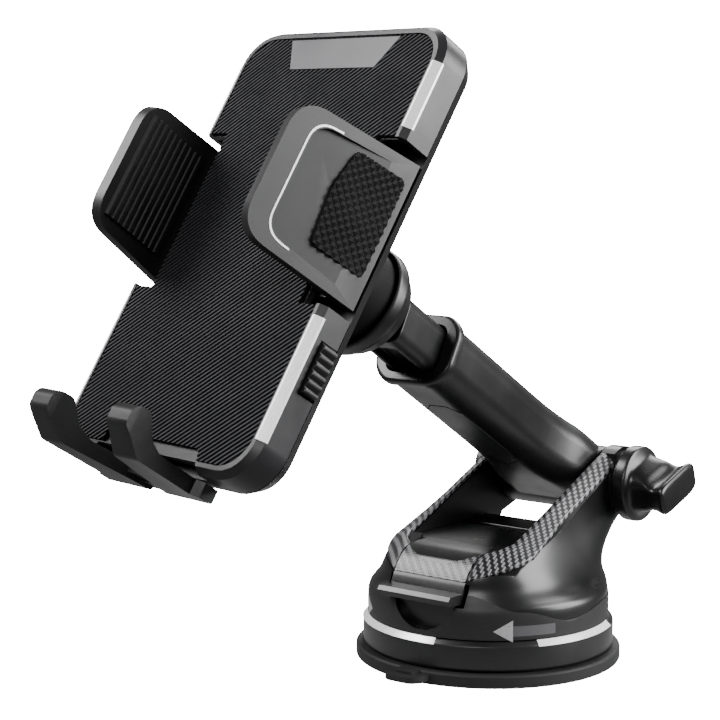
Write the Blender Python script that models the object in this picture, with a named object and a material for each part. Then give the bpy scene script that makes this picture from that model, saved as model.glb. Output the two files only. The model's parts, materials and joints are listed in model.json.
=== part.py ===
"""Car phone mount: suction base, telescopic arm, ball joint and spring clamp cradle."""
import math

import bmesh
import bpy
from mathutils import Matrix, Vector

MM = 0.001
GAP = 0.3
RUN = 0.06

# ---- suction base
PAD_R, PAD_H = 34.8, 1.1
CUP_R, CUP_TOP, CUP_LIP_R = 36.0, 3.8, 35.0
TAB_HALF, TAB_OUT, TAB_Z = 6.0, 41.5, (1.3, 3.0)
PLATE_R, PLATE_Z = 28.5, (4.1, 6.6)
RING_R, RING_IN, RING_Z, RING_CHAMFER = 34.05, 29.6, (4.1, 10.7), 1.2
TRIM_ARCS = ((-62.0, 10.0), (57.0, 109.0), (160.0, 232.0))
STEM_R, STEM_Z, STEM_FOOT_R = 3.6, (3.1, 24.2), 9.0
FLOOR_R, FLOOR_Z = 28.9, (12.6, 15.0)
SPRING_R, SPRING_WIRE, SPRING_TURNS, SPRING_Z = 6.4, 0.6, 4, (7.4, 11.9)
BASE_SCREW_R, BASE_SCREW_PCR = 1.3, 22.0

# ---- shell and fork: height, half width, front, rear, squareness
SHELL_RINGS = ((12.2, 32.6, -32.6, 32.6, 2.0), (19.4, 32.5, -32.5, 32.5, 2.0),
               (21.4, 31.0, -31.2, 32.6, 2.1), (24.5, 27.6, -29.6, 33.0, 2.35),
               (28.5, 24.6, -28.0, 36.0, 2.8), (33.5, 22.4, -22.0, 41.0, 3.6),
               (40.0, 21.2, -14.0, 49.0, 5.0), (48.0, 20.7, -4.0, 50.0, 6.0),
               (57.0, 20.5, 6.0, 50.0, 6.0))
PIVOT_Y, PIVOT_Z, EAR_R = 37.0, 44.5, 10.0
FORK_IN, FORK_OUT = 16.15, 20.6
TOP_SLOPE, TOP_Y, TOP_Z = 0.418, -10.5, 35.5
TRIM_T, TRIM_DROP = 1.1, 2.6
BAND_STATIONS = (-19.0, -17.4, -15.8, -14.2, -12.5, -4.0, 8.0, 20.0, 31.5)
SLOT_FLOOR = 24.6
PIN_Y, PIN_Z, PIN_R = 9.0, 29.5, 1.5
LEVER_TOP, LEVER_UNDER, KNUCKLE_R = 33.0, 30.4, 3.5
LEVER_HALF, DECK_HALF, DECK_FRONT = 11.5, 15.75, -13.0
LEVER_FRONT = ((-12.0, 33.0), (-17.0, 32.9), (-20.4, 32.5), (-23.6, 30.9), (-26.2, 28.2), (-28.0, 25.4),
               (-28.7, 23.7), (-34.0, 23.9), (-34.9, 22.8), (-34.2, 21.3), (-28.4, 20.9), (-26.2, 21.4),
               (-25.4, 24.2), (-23.6, 26.8), (-20.6, 29.0), (-12.0, 30.4))
BAND = ((-23.9, 30.75), (-26.5, 27.7), (-27.3, 26.4), (-27.95, 26.75), (-27.1, 28.15), (-24.4, 31.35))

# ---- pivot hardware
BOLT_R, BOLT_HEAD_R, KNOB_R, KNOB_X = 3.0, 8.4, 10.5, 22.6
KNOB_DISC, KNOB_HUB_R, KNOB_TIP_X = 4.0, 7.6, 38.2
PADDLE_HALF_Y, PADDLE_HALF_Z, PADDLE_TILT = 9.0, 3.9, 18.0
WASHER_R, WASHER_T = 7.0, 0.8

# ---- arm, lengths along the arm from the pivot
ARM_DEG = 31.0
BARREL_R, BARREL_HALF = 9.3, 15.0
SLEEVE_RINGS = ((1.0, 15.0, 9.2, 8.6), (11.0, 15.0, 9.4, 8.6), (19.0, 13.0, 9.6, 8.7),
                (27.0, 11.4, 9.7, 8.6), (40.0, 11.1, 9.7, 8.5), (79.0, 11.0, 9.6, 8.4))
SLEEVE_CUT = 4.2
BORE_HALF_X, BORE_UP, BORE_DOWN, BORE_START = 7.9, 7.4, 6.4, 15.0
BEZEL_S, BEZEL_GROW = (79.3, 82.6), 0.9
INLAY_S, INLAY_HALF = (27.0, 66.0), 5.6
ROD_HALF_X, ROD_UP, ROD_DOWN, ROD_S = 7.5, 7.0, 6.0, (32.0, 100.0)
CHANNEL_HALF, CHANNEL_DEEP = 4.3, 2.2
NECK_R, BALL_R, BALL_S = 4.0, 8.5, 117.0

# ---- cradle frame: across, up and out of the screen
AXIS_U = Vector((0.98104, -0.19376, 0.00419))
AXIS_V = Vector((0.10085, 0.52883, 0.84272))
BALL_V, BALL_W = 4.0, -32.0
LINER_R, LINER_T, LINER_HALF = 8.75, 0.5, 5.6
SOCKET_R, SOCKET_OUT, SOCKET_W, SOCKET_SLOT = 9.4, 11.2, (-37.4, -19.0), 1.4
FLANGE_R, FLANGE_W = 12.6, (-19.0, -17.2)
NUT_PROFILE = ((9.6, -45.2), (12.4, -45.2), (13.2, -44.4), (13.4, -40.0), (14.6, -36.0), (15.0, -29.4),
               (14.6, -28.4), (12.4, -28.4), (11.6, -29.4), (11.6, -39.6), (9.6, -41.4))
HALF_W, HALF_H, CORNER_R, FACE_CHAMFER = 36.8, 58.2, 10.0, 1.5
FRAME_BACK, COVER_W, COVER_INSET = -8.8, (-12.3, -9.0), 2.2
WALL, FRONT_SKIN, PAD_DEEP = 2.0, 2.9, 1.3
PAD_HALF, PAD_INSET = (34.0, 55.4), 0.25
NOTCH_TOP, NOTCH_LOW, NOTCH_V = 20.0, 15.5, (46.5, 55.1)
BOSS_R, BOSS_W = 14.4, -16.9
SLOT_V, SLOT_IN = (-14.8, 27.8), 28.6
BRIGHT_V = ((30.5, 48.0), (-48.0, -17.5))
JAW_V, JAW_LEAN, JAW_T, JAW_ROOT = 6.5, 11.5, 3.0, (36.5, -8.4)
JAW_OUTLINE = ((-18.6, 0.0), (18.6, 0.0), (17.0, 25.5), (15.6, 30.2), (11.6, 33.4), (-11.6, 33.4),
               (-15.6, 30.2), (-17.0, 25.5))
JAW_RECESS = ((-15.9, 5.0), (15.9, 5.0), (14.4, 23.0), (12.2, 26.4), (-12.2, 26.4), (-14.4, 23.0))
GRIP_OUTLINE = ((-11.4, 1.6), (13.6, 1.6), (13.4, 15.6), (3.0, 17.6), (-10.6, 16.4))
GRIP_T, JAW_PAD_T, JAW_PAD_RIBS = 0.9, 0.8, 10
JAW_PAD_T_RANGE, JAW_PAD_HALF = (10.0, 31.0), 13.6
CARRIER_W, CARRIER_U = (-8.4, -3.6), (27.0, 34.6)
PINION_TEETH, PINION_R, TOOTH = 12, 6.0, 0.8
RACK_W, RACK_BACK, RACK_END = (-7.8, -4.6), 9.6, -17.0
AXLE_R, SPINE_V = 1.5, (-11.0, -6.0)
BUTTON_V, BUTTON_W, BUTTON_OUT, BUTTON_RIBS = (-34.6, -22.2), (-8.3, -3.9), 38.4, 6
FOOT_U, FOOT_HALF, FOOT_TIP_W, FOOT_TIP_V = 15.6, 4.1, 21.2, -51.8
FOOT_BASE_V, FOOT_T, TONGUE = (-62.3, -58.6), 3.6, (12.0, -36.0, -8.2, -6.4)
SCREW_HEAD_R, SCREW_R = 2.1, 1.0
COVER_SCREWS = ((-28.0, 49.0), (28.0, 49.0), (-28.0, -49.0), (28.0, -49.0))


def material(name, colour, rough=0.45, metal=0.0):
    """Return a Principled material of the given colour."""
    mat = bpy.data.materials.new(name)
    mat.use_nodes = True
    bsdf = mat.node_tree.nodes["Principled BSDF"]
    bsdf.inputs["Base Color"].default_value = (*colour, 1.0)
    bsdf.inputs["Roughness"].default_value = rough
    bsdf.inputs["Metallic"].default_value = metal
    mat.diffuse_color = (*colour, 1.0)
    return mat


def frame_empty(name, origin, columns=None):
    """Return an empty at origin (mm) whose axes are the given columns."""
    empty = bpy.data.objects.new(name, None)
    bpy.context.scene.collection.objects.link(empty)
    rot = Matrix.Identity(3) if columns is None else Matrix(columns).transposed()
    empty.matrix_world = Matrix.Translation(Vector(origin) * MM) @ rot.to_4x4()
    return empty


def finish(name, bm, mat, parent=None, smooth=False):
    """Turn a millimetre bmesh into a named object under its parent."""
    bmesh.ops.scale(bm, vec=(MM, MM, MM), verts=bm.verts)
    bmesh.ops.recalc_face_normals(bm, faces=bm.faces)
    mesh = bpy.data.meshes.new(name)
    bm.to_mesh(mesh)
    bm.free()
    for poly in mesh.polygons:
        poly.use_smooth = smooth
    obj = bpy.data.objects.new(name, mesh)
    if mat is not None:
        mesh.materials.append(mat)
    bpy.context.scene.collection.objects.link(obj)
    obj.parent = parent
    return obj


def loft(rings):
    """Return a bmesh closed over equal-length rings of 3-D points."""
    bm = bmesh.new()
    loops = [[bm.verts.new(p) for p in ring] for ring in rings]
    count = len(loops[0])
    for low, high in zip(loops, loops[1:]):
        for i in range(count):
            j = (i + 1) % count
            bm.faces.new((low[i], low[j], high[j], high[i]))
    bm.faces.new(loops[0])
    bm.faces.new(loops[-1])
    return bm


def prism(outline, low, high, place):
    """Extrude a 2-D outline from low to high; place maps (a, b, c) to a point."""
    return loft([[place(a, b, c) for a, b in outline] for c in (low, high)])


def along_z(a, b, c):
    """Outline in x and y, extruded along z."""
    return (a, b, c)


def along_x(a, b, c):
    """Outline in y and z, extruded along x."""
    return (c, a, b)


def along_y(a, b, c):
    """Outline in x and z, extruded along y."""
    return (a, c, b)


def box(x, y, z):
    """Return a box bmesh from three (low, high) pairs."""
    return prism(((x[0], y[0]), (x[1], y[0]), (x[1], y[1]), (x[0], y[1])), z[0], z[1], along_z)


def lathe(profile, steps=64, start=0.0, sweep=360.0, centre=(0.0, 0.0)):
    """Revolve a closed (r, z) profile about z; a part sweep is capped."""
    bm = bmesh.new()
    full = sweep >= 360.0
    count = steps if full else steps + 1
    rings = []
    for k in range(count):
        ang = math.radians(start + sweep * k / steps)
        rings.append([bm.verts.new((centre[0] + r * math.cos(ang), centre[1] + r * math.sin(ang), z))
                      for r, z in profile])
    size = len(profile)
    for k in range(steps):
        one, two = rings[k], rings[(k + 1) % count]
        for i in range(size):
            j = (i + 1) % size
            bm.faces.new((one[i], one[j], two[j], two[i]))
    if not full:
        bm.faces.new(rings[0])
        bm.faces.new(rings[-1])
    return bm


def spun(profile, steps=48, centre=(0.0, 0.0)):
    """Revolve an open (r, z) profile whose ends lie on the axis into a solid."""
    bm = bmesh.new()
    verts = [bm.verts.new((r, 0.0, z)) for r, z in profile]
    edges = [bm.edges.new(pair) for pair in zip(verts, verts[1:])]
    bmesh.ops.spin(bm, geom=verts + edges, cent=(0, 0, 0), axis=(0, 0, 1), angle=math.tau, steps=steps,
                   use_merge=True)
    bmesh.ops.remove_doubles(bm, verts=bm.verts, dist=1e-5)
    bmesh.ops.translate(bm, vec=(centre[0], centre[1], 0.0), verts=bm.verts)
    return bm


def rod_bm(radius, low, high, steps=32, centre=(0.0, 0.0), place=along_z):
    """Return a round rod between low and high."""
    outline = [(centre[0] + radius * math.cos(math.tau * k / steps),
                centre[1] + radius * math.sin(math.tau * k / steps)) for k in range(steps)]
    return prism(outline, low, high, place)


def rounded(half_x, half_y, radius, steps=8):
    """Return a rounded rectangle outline."""
    pts = []
    for cx, cy, turn in ((1, 1, 0), (-1, 1, 90), (-1, -1, 180), (1, -1, 270)):
        for k in range(steps + 1):
            ang = math.radians(turn + 90.0 * k / steps)
            pts.append((cx * (half_x - radius) + radius * math.cos(ang),
                        cy * (half_y - radius) + radius * math.sin(ang)))
    return pts


def cut(obj, bm, operation="DIFFERENCE", name="cutter"):
    """Apply a Boolean of a cutter bmesh to obj through a modifier."""
    cutter = finish(obj.name + "_" + name, bm, None, obj.parent)
    cutter.hide_render = True
    cutter.display_type = "WIRE"
    mod = obj.modifiers.new(name, "BOOLEAN")
    mod.object = cutter
    mod.operation = operation
    mod.solver = "EXACT"
    return obj


def bevel(obj, width, segments=2, angle=40.0):
    """Round the sharp edges of obj."""
    mod = obj.modifiers.new("bevel", "BEVEL")
    mod.width = width * MM
    mod.segments = segments
    mod.limit_method = "ANGLE"
    mod.angle_limit = math.radians(angle)
    return obj


# ------------------------------------------------------------------ base
def superellipse(z, half, front, rear, power, count=56):
    """Return one ring of the shell at height z."""
    mid, long = (front + rear) / 2, (rear - front) / 2
    ring = []
    for k in range(count):
        ang = math.tau * k / count
        c, s = math.cos(ang), math.sin(ang)
        ring.append((half * math.copysign(abs(c) ** (2 / power), c),
                     mid + long * math.copysign(abs(s) ** (2 / power), s), z))
    return ring


def top_line(y):
    """Height of the fork's top edge at y."""
    return TOP_Z + TOP_SLOPE * (y - TOP_Y)


def ear_arc(start, stop, radius, steps=12):
    """Points of the ear's round end, in y and z."""
    return [(PIVOT_Y + radius * math.cos(math.radians(start + (stop - start) * k / steps)),
             PIVOT_Z + radius * math.sin(math.radians(start + (stop - start) * k / steps)))
            for k in range(steps + 1)]


def side_profile():
    """Side view of the shell and fork, in y and z."""
    front = [(-33.0, 12.2), (-33.0, 23.0), (-28.6, 24.4), (-26.2, 28.2), (-23.6, 30.9), (-20.4, 31.9)]
    rear = [(31.0, 32.6), (28.6, 29.6), (29.4, 26.0), (33.0, 21.5), (33.0, 12.2)]
    return front + [(-12.0, top_line(-12.0))] + ear_arc(112.0, -62.0, EAR_R) + rear


def build_pad(mat):
    """Sticky gel pad whose flat underside grips the dashboard."""
    return finish("gel_pad", spun(((0, 0), (PAD_R - 0.5, 0), (PAD_R, 0.5), (PAD_R, PAD_H), (0, PAD_H)), 40),
                  mat, smooth=False)


def build_cup(mat):
    """Soft suction cup with its pull tab."""
    low = PAD_H + 0.05
    profile = ((STEM_FOOT_R + GAP, low), (CUP_R - 0.6, low), (CUP_R, low + 0.5), (CUP_R, CUP_TOP - 1.2),
               (CUP_LIP_R, CUP_TOP), (STEM_FOOT_R + GAP, CUP_TOP))
    cup = finish("suction_cup", lathe(profile, 56), mat)
    tab = prism(((-TAB_HALF, -33.0), (TAB_HALF, -33.0), (TAB_HALF, -39.5), (TAB_HALF - 2.0, -TAB_OUT),
                 (2.0 - TAB_HALF, -TAB_OUT), (-TAB_HALF, -39.5)), TAB_Z[0], TAB_Z[1], along_z)
    return cut(cup, tab, "UNION", "tab")


def build_backing(mat):
    """Rigid disc that stiffens the cup."""
    profile = ((STEM_FOOT_R + GAP, PLATE_Z[0]), (PLATE_R, PLATE_Z[0]), (PLATE_R, PLATE_Z[1] - 0.6),
               (PLATE_R - 0.6, PLATE_Z[1]), (STEM_FOOT_R + GAP, PLATE_Z[1]))
    return finish("cup_backing", lathe(profile, 36), mat)


def trim_profile():
    """Section of the bright inlay on the ring's chamfer."""
    top = RING_Z[1] + RING_CHAMFER
    return ((RING_R + 0.1, RING_Z[1] - 0.15), (RING_R - RING_CHAMFER - 0.15, top + 0.1),
            (RING_R - RING_CHAMFER - 0.9, top - 0.65), (RING_R - 0.65, RING_Z[1] - 0.9))


def groove_profile():
    """Section of the groove: the inlay's inner side, carried well outside the ring."""
    top = RING_Z[1] + RING_CHAMFER
    inner, outer = (RING_R - RING_CHAMFER - 1.1, top - 0.65), (RING_R - 0.65, RING_Z[1] - 1.1)
    return (outer, (outer[0] + 2.5, outer[1] + 2.5), (inner[0] + 2.5, inner[1] + 2.5), inner)


def build_ring(mat):
    """Lower ring of the base with three chamfer grooves."""
    top = RING_Z[1] + RING_CHAMFER
    profile = ((RING_IN, RING_Z[0]), (RING_R - 0.5, RING_Z[0]), (RING_R, RING_Z[0] + 0.5), (RING_R, RING_Z[1]),
               (RING_R - RING_CHAMFER, top), (RING_IN, top))
    ring = finish("base_ring", lathe(profile, 72), mat)
    for k, (start, stop) in enumerate(TRIM_ARCS):
        groove = lathe(groove_profile(), 12, start - 90.3, stop - start + 0.6)
        cut(ring, groove, name="groove_%d" % k)
    return ring


def build_ring_trims(mat):
    """Bright inlays, one for each groove."""
    for k, (start, stop) in enumerate(TRIM_ARCS):
        finish("ring_trim_%d" % (k + 1), lathe(trim_profile(), 12, start - 90.0, stop - start), mat)


def build_shell(mat):
    """Skirt, glossy flare and the two fork ears in one moulding."""
    shell = finish("base_shell", loft([superellipse(*ring) for ring in SHELL_RINGS]), mat)
    cut(shell, prism(side_profile(), -45.0, 45.0, along_x), "INTERSECT", "side_view")
    boss = rod_bm(EAR_R - 1.0, GAP - KNOB_X, KNOB_X - GAP, 48, (PIVOT_Y, PIVOT_Z), along_x)
    cut(shell, boss, "UNION", "pivot_boss")
    cut(shell, rod_bm(29.2, 10.0, 19.0, 64), name="cavity")
    cut(shell, box((-FORK_IN, FORK_IN), (-14.0, 60.0), (SLOT_FLOOR, 70.0)), name="slot")
    front = LEVER_HALF + GAP
    cut(shell, box((-front, front), (-45.0, -12.0), (23.9, 45.0)), name="lever_bay")
    cut(shell, box((-front - 0.8, front + 0.8), (-45.0, -24.6), (20.3, 26.0)), name="lip_bay")
    cut(shell, rod_bm(9.5, -36.0, -28.6, 40, (1.0, 23.0), along_y), name="finger")
    cut(shell, box((-5.6, 5.6), (-4.5, 10.5), (16.0, 26.0)), name="cam_well")
    cut(shell, rod_bm(PIN_R + RUN, -18.9, 18.9, 24, (PIN_Y, PIN_Z), along_x), name="pin_bore")
    cut(shell, rod_bm(BOLT_R + RUN, -30.0, 30.0, 32, (PIVOT_Y, PIVOT_Z), along_x), name="pivot_bore")
    for sign in (-1, 1):
        cut(shell, band_bm(sign, True), name="band_%d" % (sign + 1))
    return shell


def band_bm(sign, cutter=False):
    """Sloped carbon band on one ear, or the cutter that makes its seat."""
    rings = []
    for y in BAND_STATIONS:
        z = top_line(y)
        inner = 12.2 + (FORK_IN - 12.0) * min(1.0, max(0.0, (y + 20.5) / 8.0))
        outer = FORK_OUT + 0.1 + 2.7 * max(0.0, (6.0 - y) / 26.0)
        slope = TRIM_DROP / (outer - inner - 1.6)
        if cutter:
            low, far = z - TRIM_T - GAP, 8.0
            ring = [(inner - GAP, z + far), (outer + far, z + far), (outer + far, low - TRIM_DROP - far * slope),
                    (outer, low - TRIM_DROP), (inner + 1.6, low), (inner - GAP, low)]
        else:
            low = z - TRIM_T
            ring = [(inner, z), (inner + 1.6, z), (outer, z - TRIM_DROP), (outer, low - TRIM_DROP),
                    (inner + 1.6, low), (inner, low)]
        rings.append([(sign * a, y, b) for a, b in ring])
    if cutter:
        rings[0] = [(x, y - GAP, z) for x, y, z in rings[0]]
        rings[-1] = [(x, y + GAP, z) for x, y, z in rings[-1]]
    return loft(rings)


def build_bands(mat):
    """Textured bands on the ears."""
    finish("carbon_band_left", band_bm(-1), mat)
    finish("carbon_band_right", band_bm(1), mat)


def build_deck(mat):
    """Fixed cover between the ears behind the lever."""
    half = FORK_IN - GAP
    cover = box((-half, half), (PIN_Y + KNUCKLE_R + 0.5, 24.5), (LEVER_TOP - 2.4, LEVER_TOP - 0.1))
    deck = finish("deck_cover", cover, mat)
    return cut(deck, box((-6.0, 6.0), (14.5, 22.0), (SLOT_FLOOR + 0.05, LEVER_TOP - 1.0)), "UNION", "foot")


def build_floor(mat):
    """Floor plate that guides the stem inside the shell."""
    profile = ((STEM_R + 0.1, FLOOR_Z[0]), (FLOOR_R, FLOOR_Z[0]), (FLOOR_R, FLOOR_Z[1]), (STEM_R + 0.1, FLOOR_Z[1]))
    plate = finish("floor_plate", lathe(profile, 32), mat)
    for k, (x, y) in enumerate(base_screw_places()):
        cut(plate, rod_bm(BASE_SCREW_R + 0.1, 10.0, 20.0, 16, (x, y)), name="hole_%d" % k)
    return plate


def base_screw_places():
    """Centres of the three floor screws."""
    return [(BASE_SCREW_PCR * math.cos(math.radians(a)), BASE_SCREW_PCR * math.sin(math.radians(a)))
            for a in (30.0, 150.0, 270.0)]


def build_base_screws(mat):
    """Screws that hold the floor plate up inside the shell."""
    profile = ((0, 10.9), (2.4, 10.9), (2.4, FLOOR_Z[0] - 0.05), (BASE_SCREW_R, FLOOR_Z[0] - 0.05),
               (BASE_SCREW_R, 18.7), (0, 18.7))
    for k, place in enumerate(base_screw_places()):
        finish("base_screw_%d" % (k + 1), spun(profile, 14, place), mat)


def build_stem(mat):
    """Stem that lifts the cup's middle when the lever is pressed down."""
    profile = ((0, STEM_Z[0]), (STEM_FOOT_R, STEM_Z[0]), (STEM_FOOT_R, 5.6), (STEM_R, 6.5), (STEM_R, STEM_Z[1]),
               (0, STEM_Z[1]))
    stem = finish("stem", spun(profile, 24), mat)
    cut(stem, box((-1.7, 1.7), (-5.0, 5.0), (19.8, 30.0)), name="fork")
    return cut(stem, rod_bm(1.05, -8.0, 8.0, 20, (0.0, 22.0), along_x), name="cross_bore")


def build_stem_pin(mat):
    """Cross pin at the top of the stem."""
    return finish("stem_pin", rod_bm(1.0, -3.4, 3.4, 20, (0.0, 22.0), along_x), mat)


def build_spring(mat, parent=None):
    """Coil spring between the cup backing and the floor plate."""
    steps, sides = 14, 6
    total = steps * SPRING_TURNS
    rings = []
    for k in range(total + 1):
        ang = math.tau * k / steps
        z = SPRING_Z[0] + (SPRING_Z[1] - SPRING_Z[0]) * k / total
        ring = []
        for i in range(sides):
            tilt = math.tau * i / sides
            r = SPRING_R + SPRING_WIRE * math.cos(tilt)
            ring.append((r * math.cos(ang), r * math.sin(ang), z + SPRING_WIRE * math.sin(tilt)))
        rings.append(ring)
    return finish("stem_spring", loft(rings), mat, parent)


def build_lever(mat):
    """Lock lever: deck, rolled front and finger lip."""
    lever = finish("lock_lever", prism(LEVER_FRONT, -LEVER_HALF, LEVER_HALF, along_x), mat)
    deck = box((-DECK_HALF, DECK_HALF), (DECK_FRONT, PIN_Y), (LEVER_UNDER, LEVER_TOP))
    cut(lever, deck, "UNION", "deck")
    cut(lever, rod_bm(KNUCKLE_R, -DECK_HALF, DECK_HALF, 32, (PIN_Y, PIN_Z), along_x), "UNION", "knuckle")
    cut(lever, box((-1.5, 1.5), (-2.4, 7.0), (23.6, LEVER_UNDER + 0.5)), "UNION", "cam")
    cut(lever, rod_bm(PIN_R + RUN, -30.0, 30.0, 24, (PIN_Y, PIN_Z), along_x), name="bore")
    return cut(lever, prism(grown_band(), -LEVER_HALF - 1, LEVER_HALF + 1, along_x), name="band_groove")


def grown_band():
    """Section of the groove under the lever's band."""
    return ((-23.75, 30.6), (-26.4, 27.6), (-27.3, 26.2), (-28.6, 26.9), (-27.4, 28.6), (-24.3, 31.9))


def build_lever_band(mat):
    """Textured band across the lever's rolled front."""
    return finish("lever_band", prism(BAND, 0.1 - LEVER_HALF, LEVER_HALF - 0.1, along_x), mat)


def build_lever_pin(mat):
    """Hinge pin of the lever."""
    return finish("lever_pin", rod_bm(PIN_R, -18.7, 18.7, 24, (PIN_Y, PIN_Z), along_x), mat, smooth=False)


# ------------------------------------------------------------------ pivot
def build_bolt(mat):
    """Pivot bolt with its round cap on the left ear."""
    bolt = finish("pivot_bolt", rod_bm(BOLT_R, -KNOB_X - 0.6, KNOB_X + 6.0, 32, (PIVOT_Y, PIVOT_Z), along_x), mat)
    head = loft([[(x, PIVOT_Y + r * math.cos(math.tau * k / 40), PIVOT_Z + r * math.sin(math.tau * k / 40))
                  for k in range(40)]
                 for x, r in ((-KNOB_X, BOLT_HEAD_R), (-KNOB_X - 1.8, BOLT_HEAD_R),
                              (-KNOB_X - 2.6, BOLT_HEAD_R - 1.2))])
    return cut(bolt, head, "UNION", "head")


def build_knob(mat, parent):
    """Wing knob: round disc, tapered hub and tilted paddle; axis along local x."""
    stations = ((0.0, KNOB_R - 0.5, KNOB_R - 0.5), (0.6, KNOB_R, KNOB_R), (KNOB_DISC - 0.8, KNOB_R, KNOB_R),
                (KNOB_DISC, KNOB_R - 0.9, KNOB_R - 0.9), (KNOB_DISC + 1.4, 8.2, KNOB_HUB_R),
                (KNOB_DISC + 4.0, 8.6, 5.6), (KNOB_TIP_X - KNOB_X - 6.0, PADDLE_HALF_Y, PADDLE_HALF_Z + 0.7),
                (KNOB_TIP_X - KNOB_X - 1.4, PADDLE_HALF_Y + 0.6, PADDLE_HALF_Z),
                (KNOB_TIP_X - KNOB_X, PADDLE_HALF_Y - 0.8, PADDLE_HALF_Z - 1.2))
    rings = []
    for x, a, b in stations:
        power = 2.0 if x < KNOB_DISC + 1.0 else 3.2
        rings.append([(x, a * math.copysign(abs(math.cos(t)) ** (2 / power), math.cos(t)),
                       b * math.copysign(abs(math.sin(t)) ** (2 / power), math.sin(t)))
                      for t in (math.tau * k / 48 for k in range(48))])
    bm = loft(rings)
    bmesh.ops.rotate(bm, verts=bm.verts, cent=(0, 0, 0), matrix=Matrix.Rotation(math.radians(PADDLE_TILT), 3, "X"))
    knob = finish("wing_knob", bm, mat, parent)
    return cut(knob, rod_bm(5.05, -1.0, 7.6, 6, (0.0, 0.0), along_x), name="insert_pocket")


def build_insert(mat, parent):
    """Hexagonal nut insert moulded into the knob."""
    nut = finish("knob_insert", rod_bm(4.95, 0.4, 7.3, 6, (0.0, 0.0), along_x), mat, parent)
    return cut(nut, rod_bm(BOLT_R + RUN, -1.0, 9.0, 32, (0.0, 0.0), along_x), name="thread")


def build_washers(mat):
    """Friction washers between the ears and the arm's barrel."""
    for name, low in (("washer_left", -FORK_IN + 0.15), ("washer_right", FORK_IN - 0.15 - WASHER_T)):
        washer = finish(name, rod_bm(WASHER_R, low, low + WASHER_T, 32, (PIVOT_Y, PIVOT_Z), along_x), mat)
        cut(washer, rod_bm(BOLT_R + RUN, low - 1, low + 2, 32, (PIVOT_Y, PIVOT_Z), along_x), name="bore")


# ------------------------------------------------------------------ arm
def chamfered(half, up, down, corner):
    """Outline with four cut corners, in x and y."""
    return ((half, up - corner), (half - corner, up), (corner - half, up), (-half, up - corner),
            (-half, corner - down), (corner - half, -down), (half - corner, -down), (half, corner - down))


def build_sleeve(mat, parent):
    """Outer arm: barrel at the pivot, flared root and hollow sleeve."""
    rings = [[(x, y, s) for x, y in chamfered(half, up, down, SLEEVE_CUT)] for s, half, up, down in SLEEVE_RINGS]
    sleeve = finish("outer_arm", loft(rings), mat, parent)
    cut(sleeve, rod_bm(BARREL_R, -BARREL_HALF, BARREL_HALF, 48, (0.0, 0.0), along_x), "UNION", "barrel")
    cut(sleeve, box((-BORE_HALF_X, BORE_HALF_X), (-BORE_DOWN, BORE_UP), (BORE_START, 90.0)), name="bore")
    cut(sleeve, rod_bm(BOLT_R + RUN, -30.0, 30.0, 32, (0.0, 0.0), along_x), name="bolt_bore")
    cut(sleeve, prism(inlay_outline(0.15), -12.0, 0.9 - 8.4, along_y), name="inlay_pocket")
    return bevel(sleeve, 0.8, 1, 35.0)


def inlay_outline(grow=0.0):
    """Long six-sided outline of the underside inlay, in x and along the arm."""
    half, low, high = INLAY_HALF + grow, INLAY_S[0] - grow, INLAY_S[1] + grow
    return ((-half, low + 5.0), (0.0, low), (half, low + 5.0), (half, high - 4.0), (half - 3.0, high),
            (3.0 - half, high), (-half, high - 4.0))


def build_inlay(mat, parent):
    """Flush inlay in the sleeve's underside."""
    return finish("arm_inlay", prism(inlay_outline(), -8.55, 0.9 - 8.45, along_y), mat, parent)


def build_bezel(mat, parent):
    """Stepped rim around the sleeve's mouth."""
    rings = []
    for s, grow in ((BEZEL_S[0], 0.1), (BEZEL_S[0] + 0.6, BEZEL_GROW), (BEZEL_S[1] - 0.8, BEZEL_GROW),
                    (BEZEL_S[1], 0.1)):
        rings.append([(x, y, s) for x, y in chamfered(11.0 + grow, 9.6 + grow, 8.4 + grow, SLEEVE_CUT)])
    bezel = finish("mouth_bezel", loft(rings), mat, parent)
    return cut(bezel, box((-BORE_HALF_X, BORE_HALF_X), (-BORE_DOWN, BORE_UP), (70.0, 90.0)), name="bore")


def build_rod(mat, parent):
    """Inner arm that slides in the sleeve, with a channel underneath."""
    outline = chamfered(ROD_HALF_X, ROD_UP, ROD_DOWN, 2.0)
    rod = finish("inner_arm", prism(outline, ROD_S[0], ROD_S[1], along_z), mat, parent)
    cut(rod, box((-CHANNEL_HALF, CHANNEL_HALF), (-9.0, CHANNEL_DEEP - ROD_DOWN), (37.0, ROD_S[1] - 4.0)),
        name="channel")
    return cut(rod, rod_bm(3.05, 90.0, 102.0, 24), name="stud_socket")


def build_shoe(mat, parent):
    """Friction shoe that rides in the sleeve behind the rod."""
    outline = chamfered(ROD_HALF_X + 0.2, ROD_UP + 0.2, ROD_DOWN + 0.2, 2.0)
    return finish("friction_shoe", prism(outline, ROD_S[0] - 5.1, ROD_S[0] - 0.1, along_z), mat, parent)


def build_ball(mat, parent):
    """Ball stud: socketed pin, collar, neck and ball."""
    arc = [(BALL_R * math.cos(math.radians(a)), BALL_S + BALL_R * math.sin(math.radians(a)))
           for a in range(-60, 90, 15)]
    profile = [(0, 90.5), (3.0, 90.5), (3.0, ROD_S[1] + 0.1), (5.2, ROD_S[1] + 0.1), (5.2, ROD_S[1] + 1.2),
               (NECK_R, ROD_S[1] + 1.6), (NECK_R, BALL_S - 7.6)] + arc + [(0, BALL_S + BALL_R)]
    return finish("ball_stud", spun(profile, 28), mat, parent, smooth=True)


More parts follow.
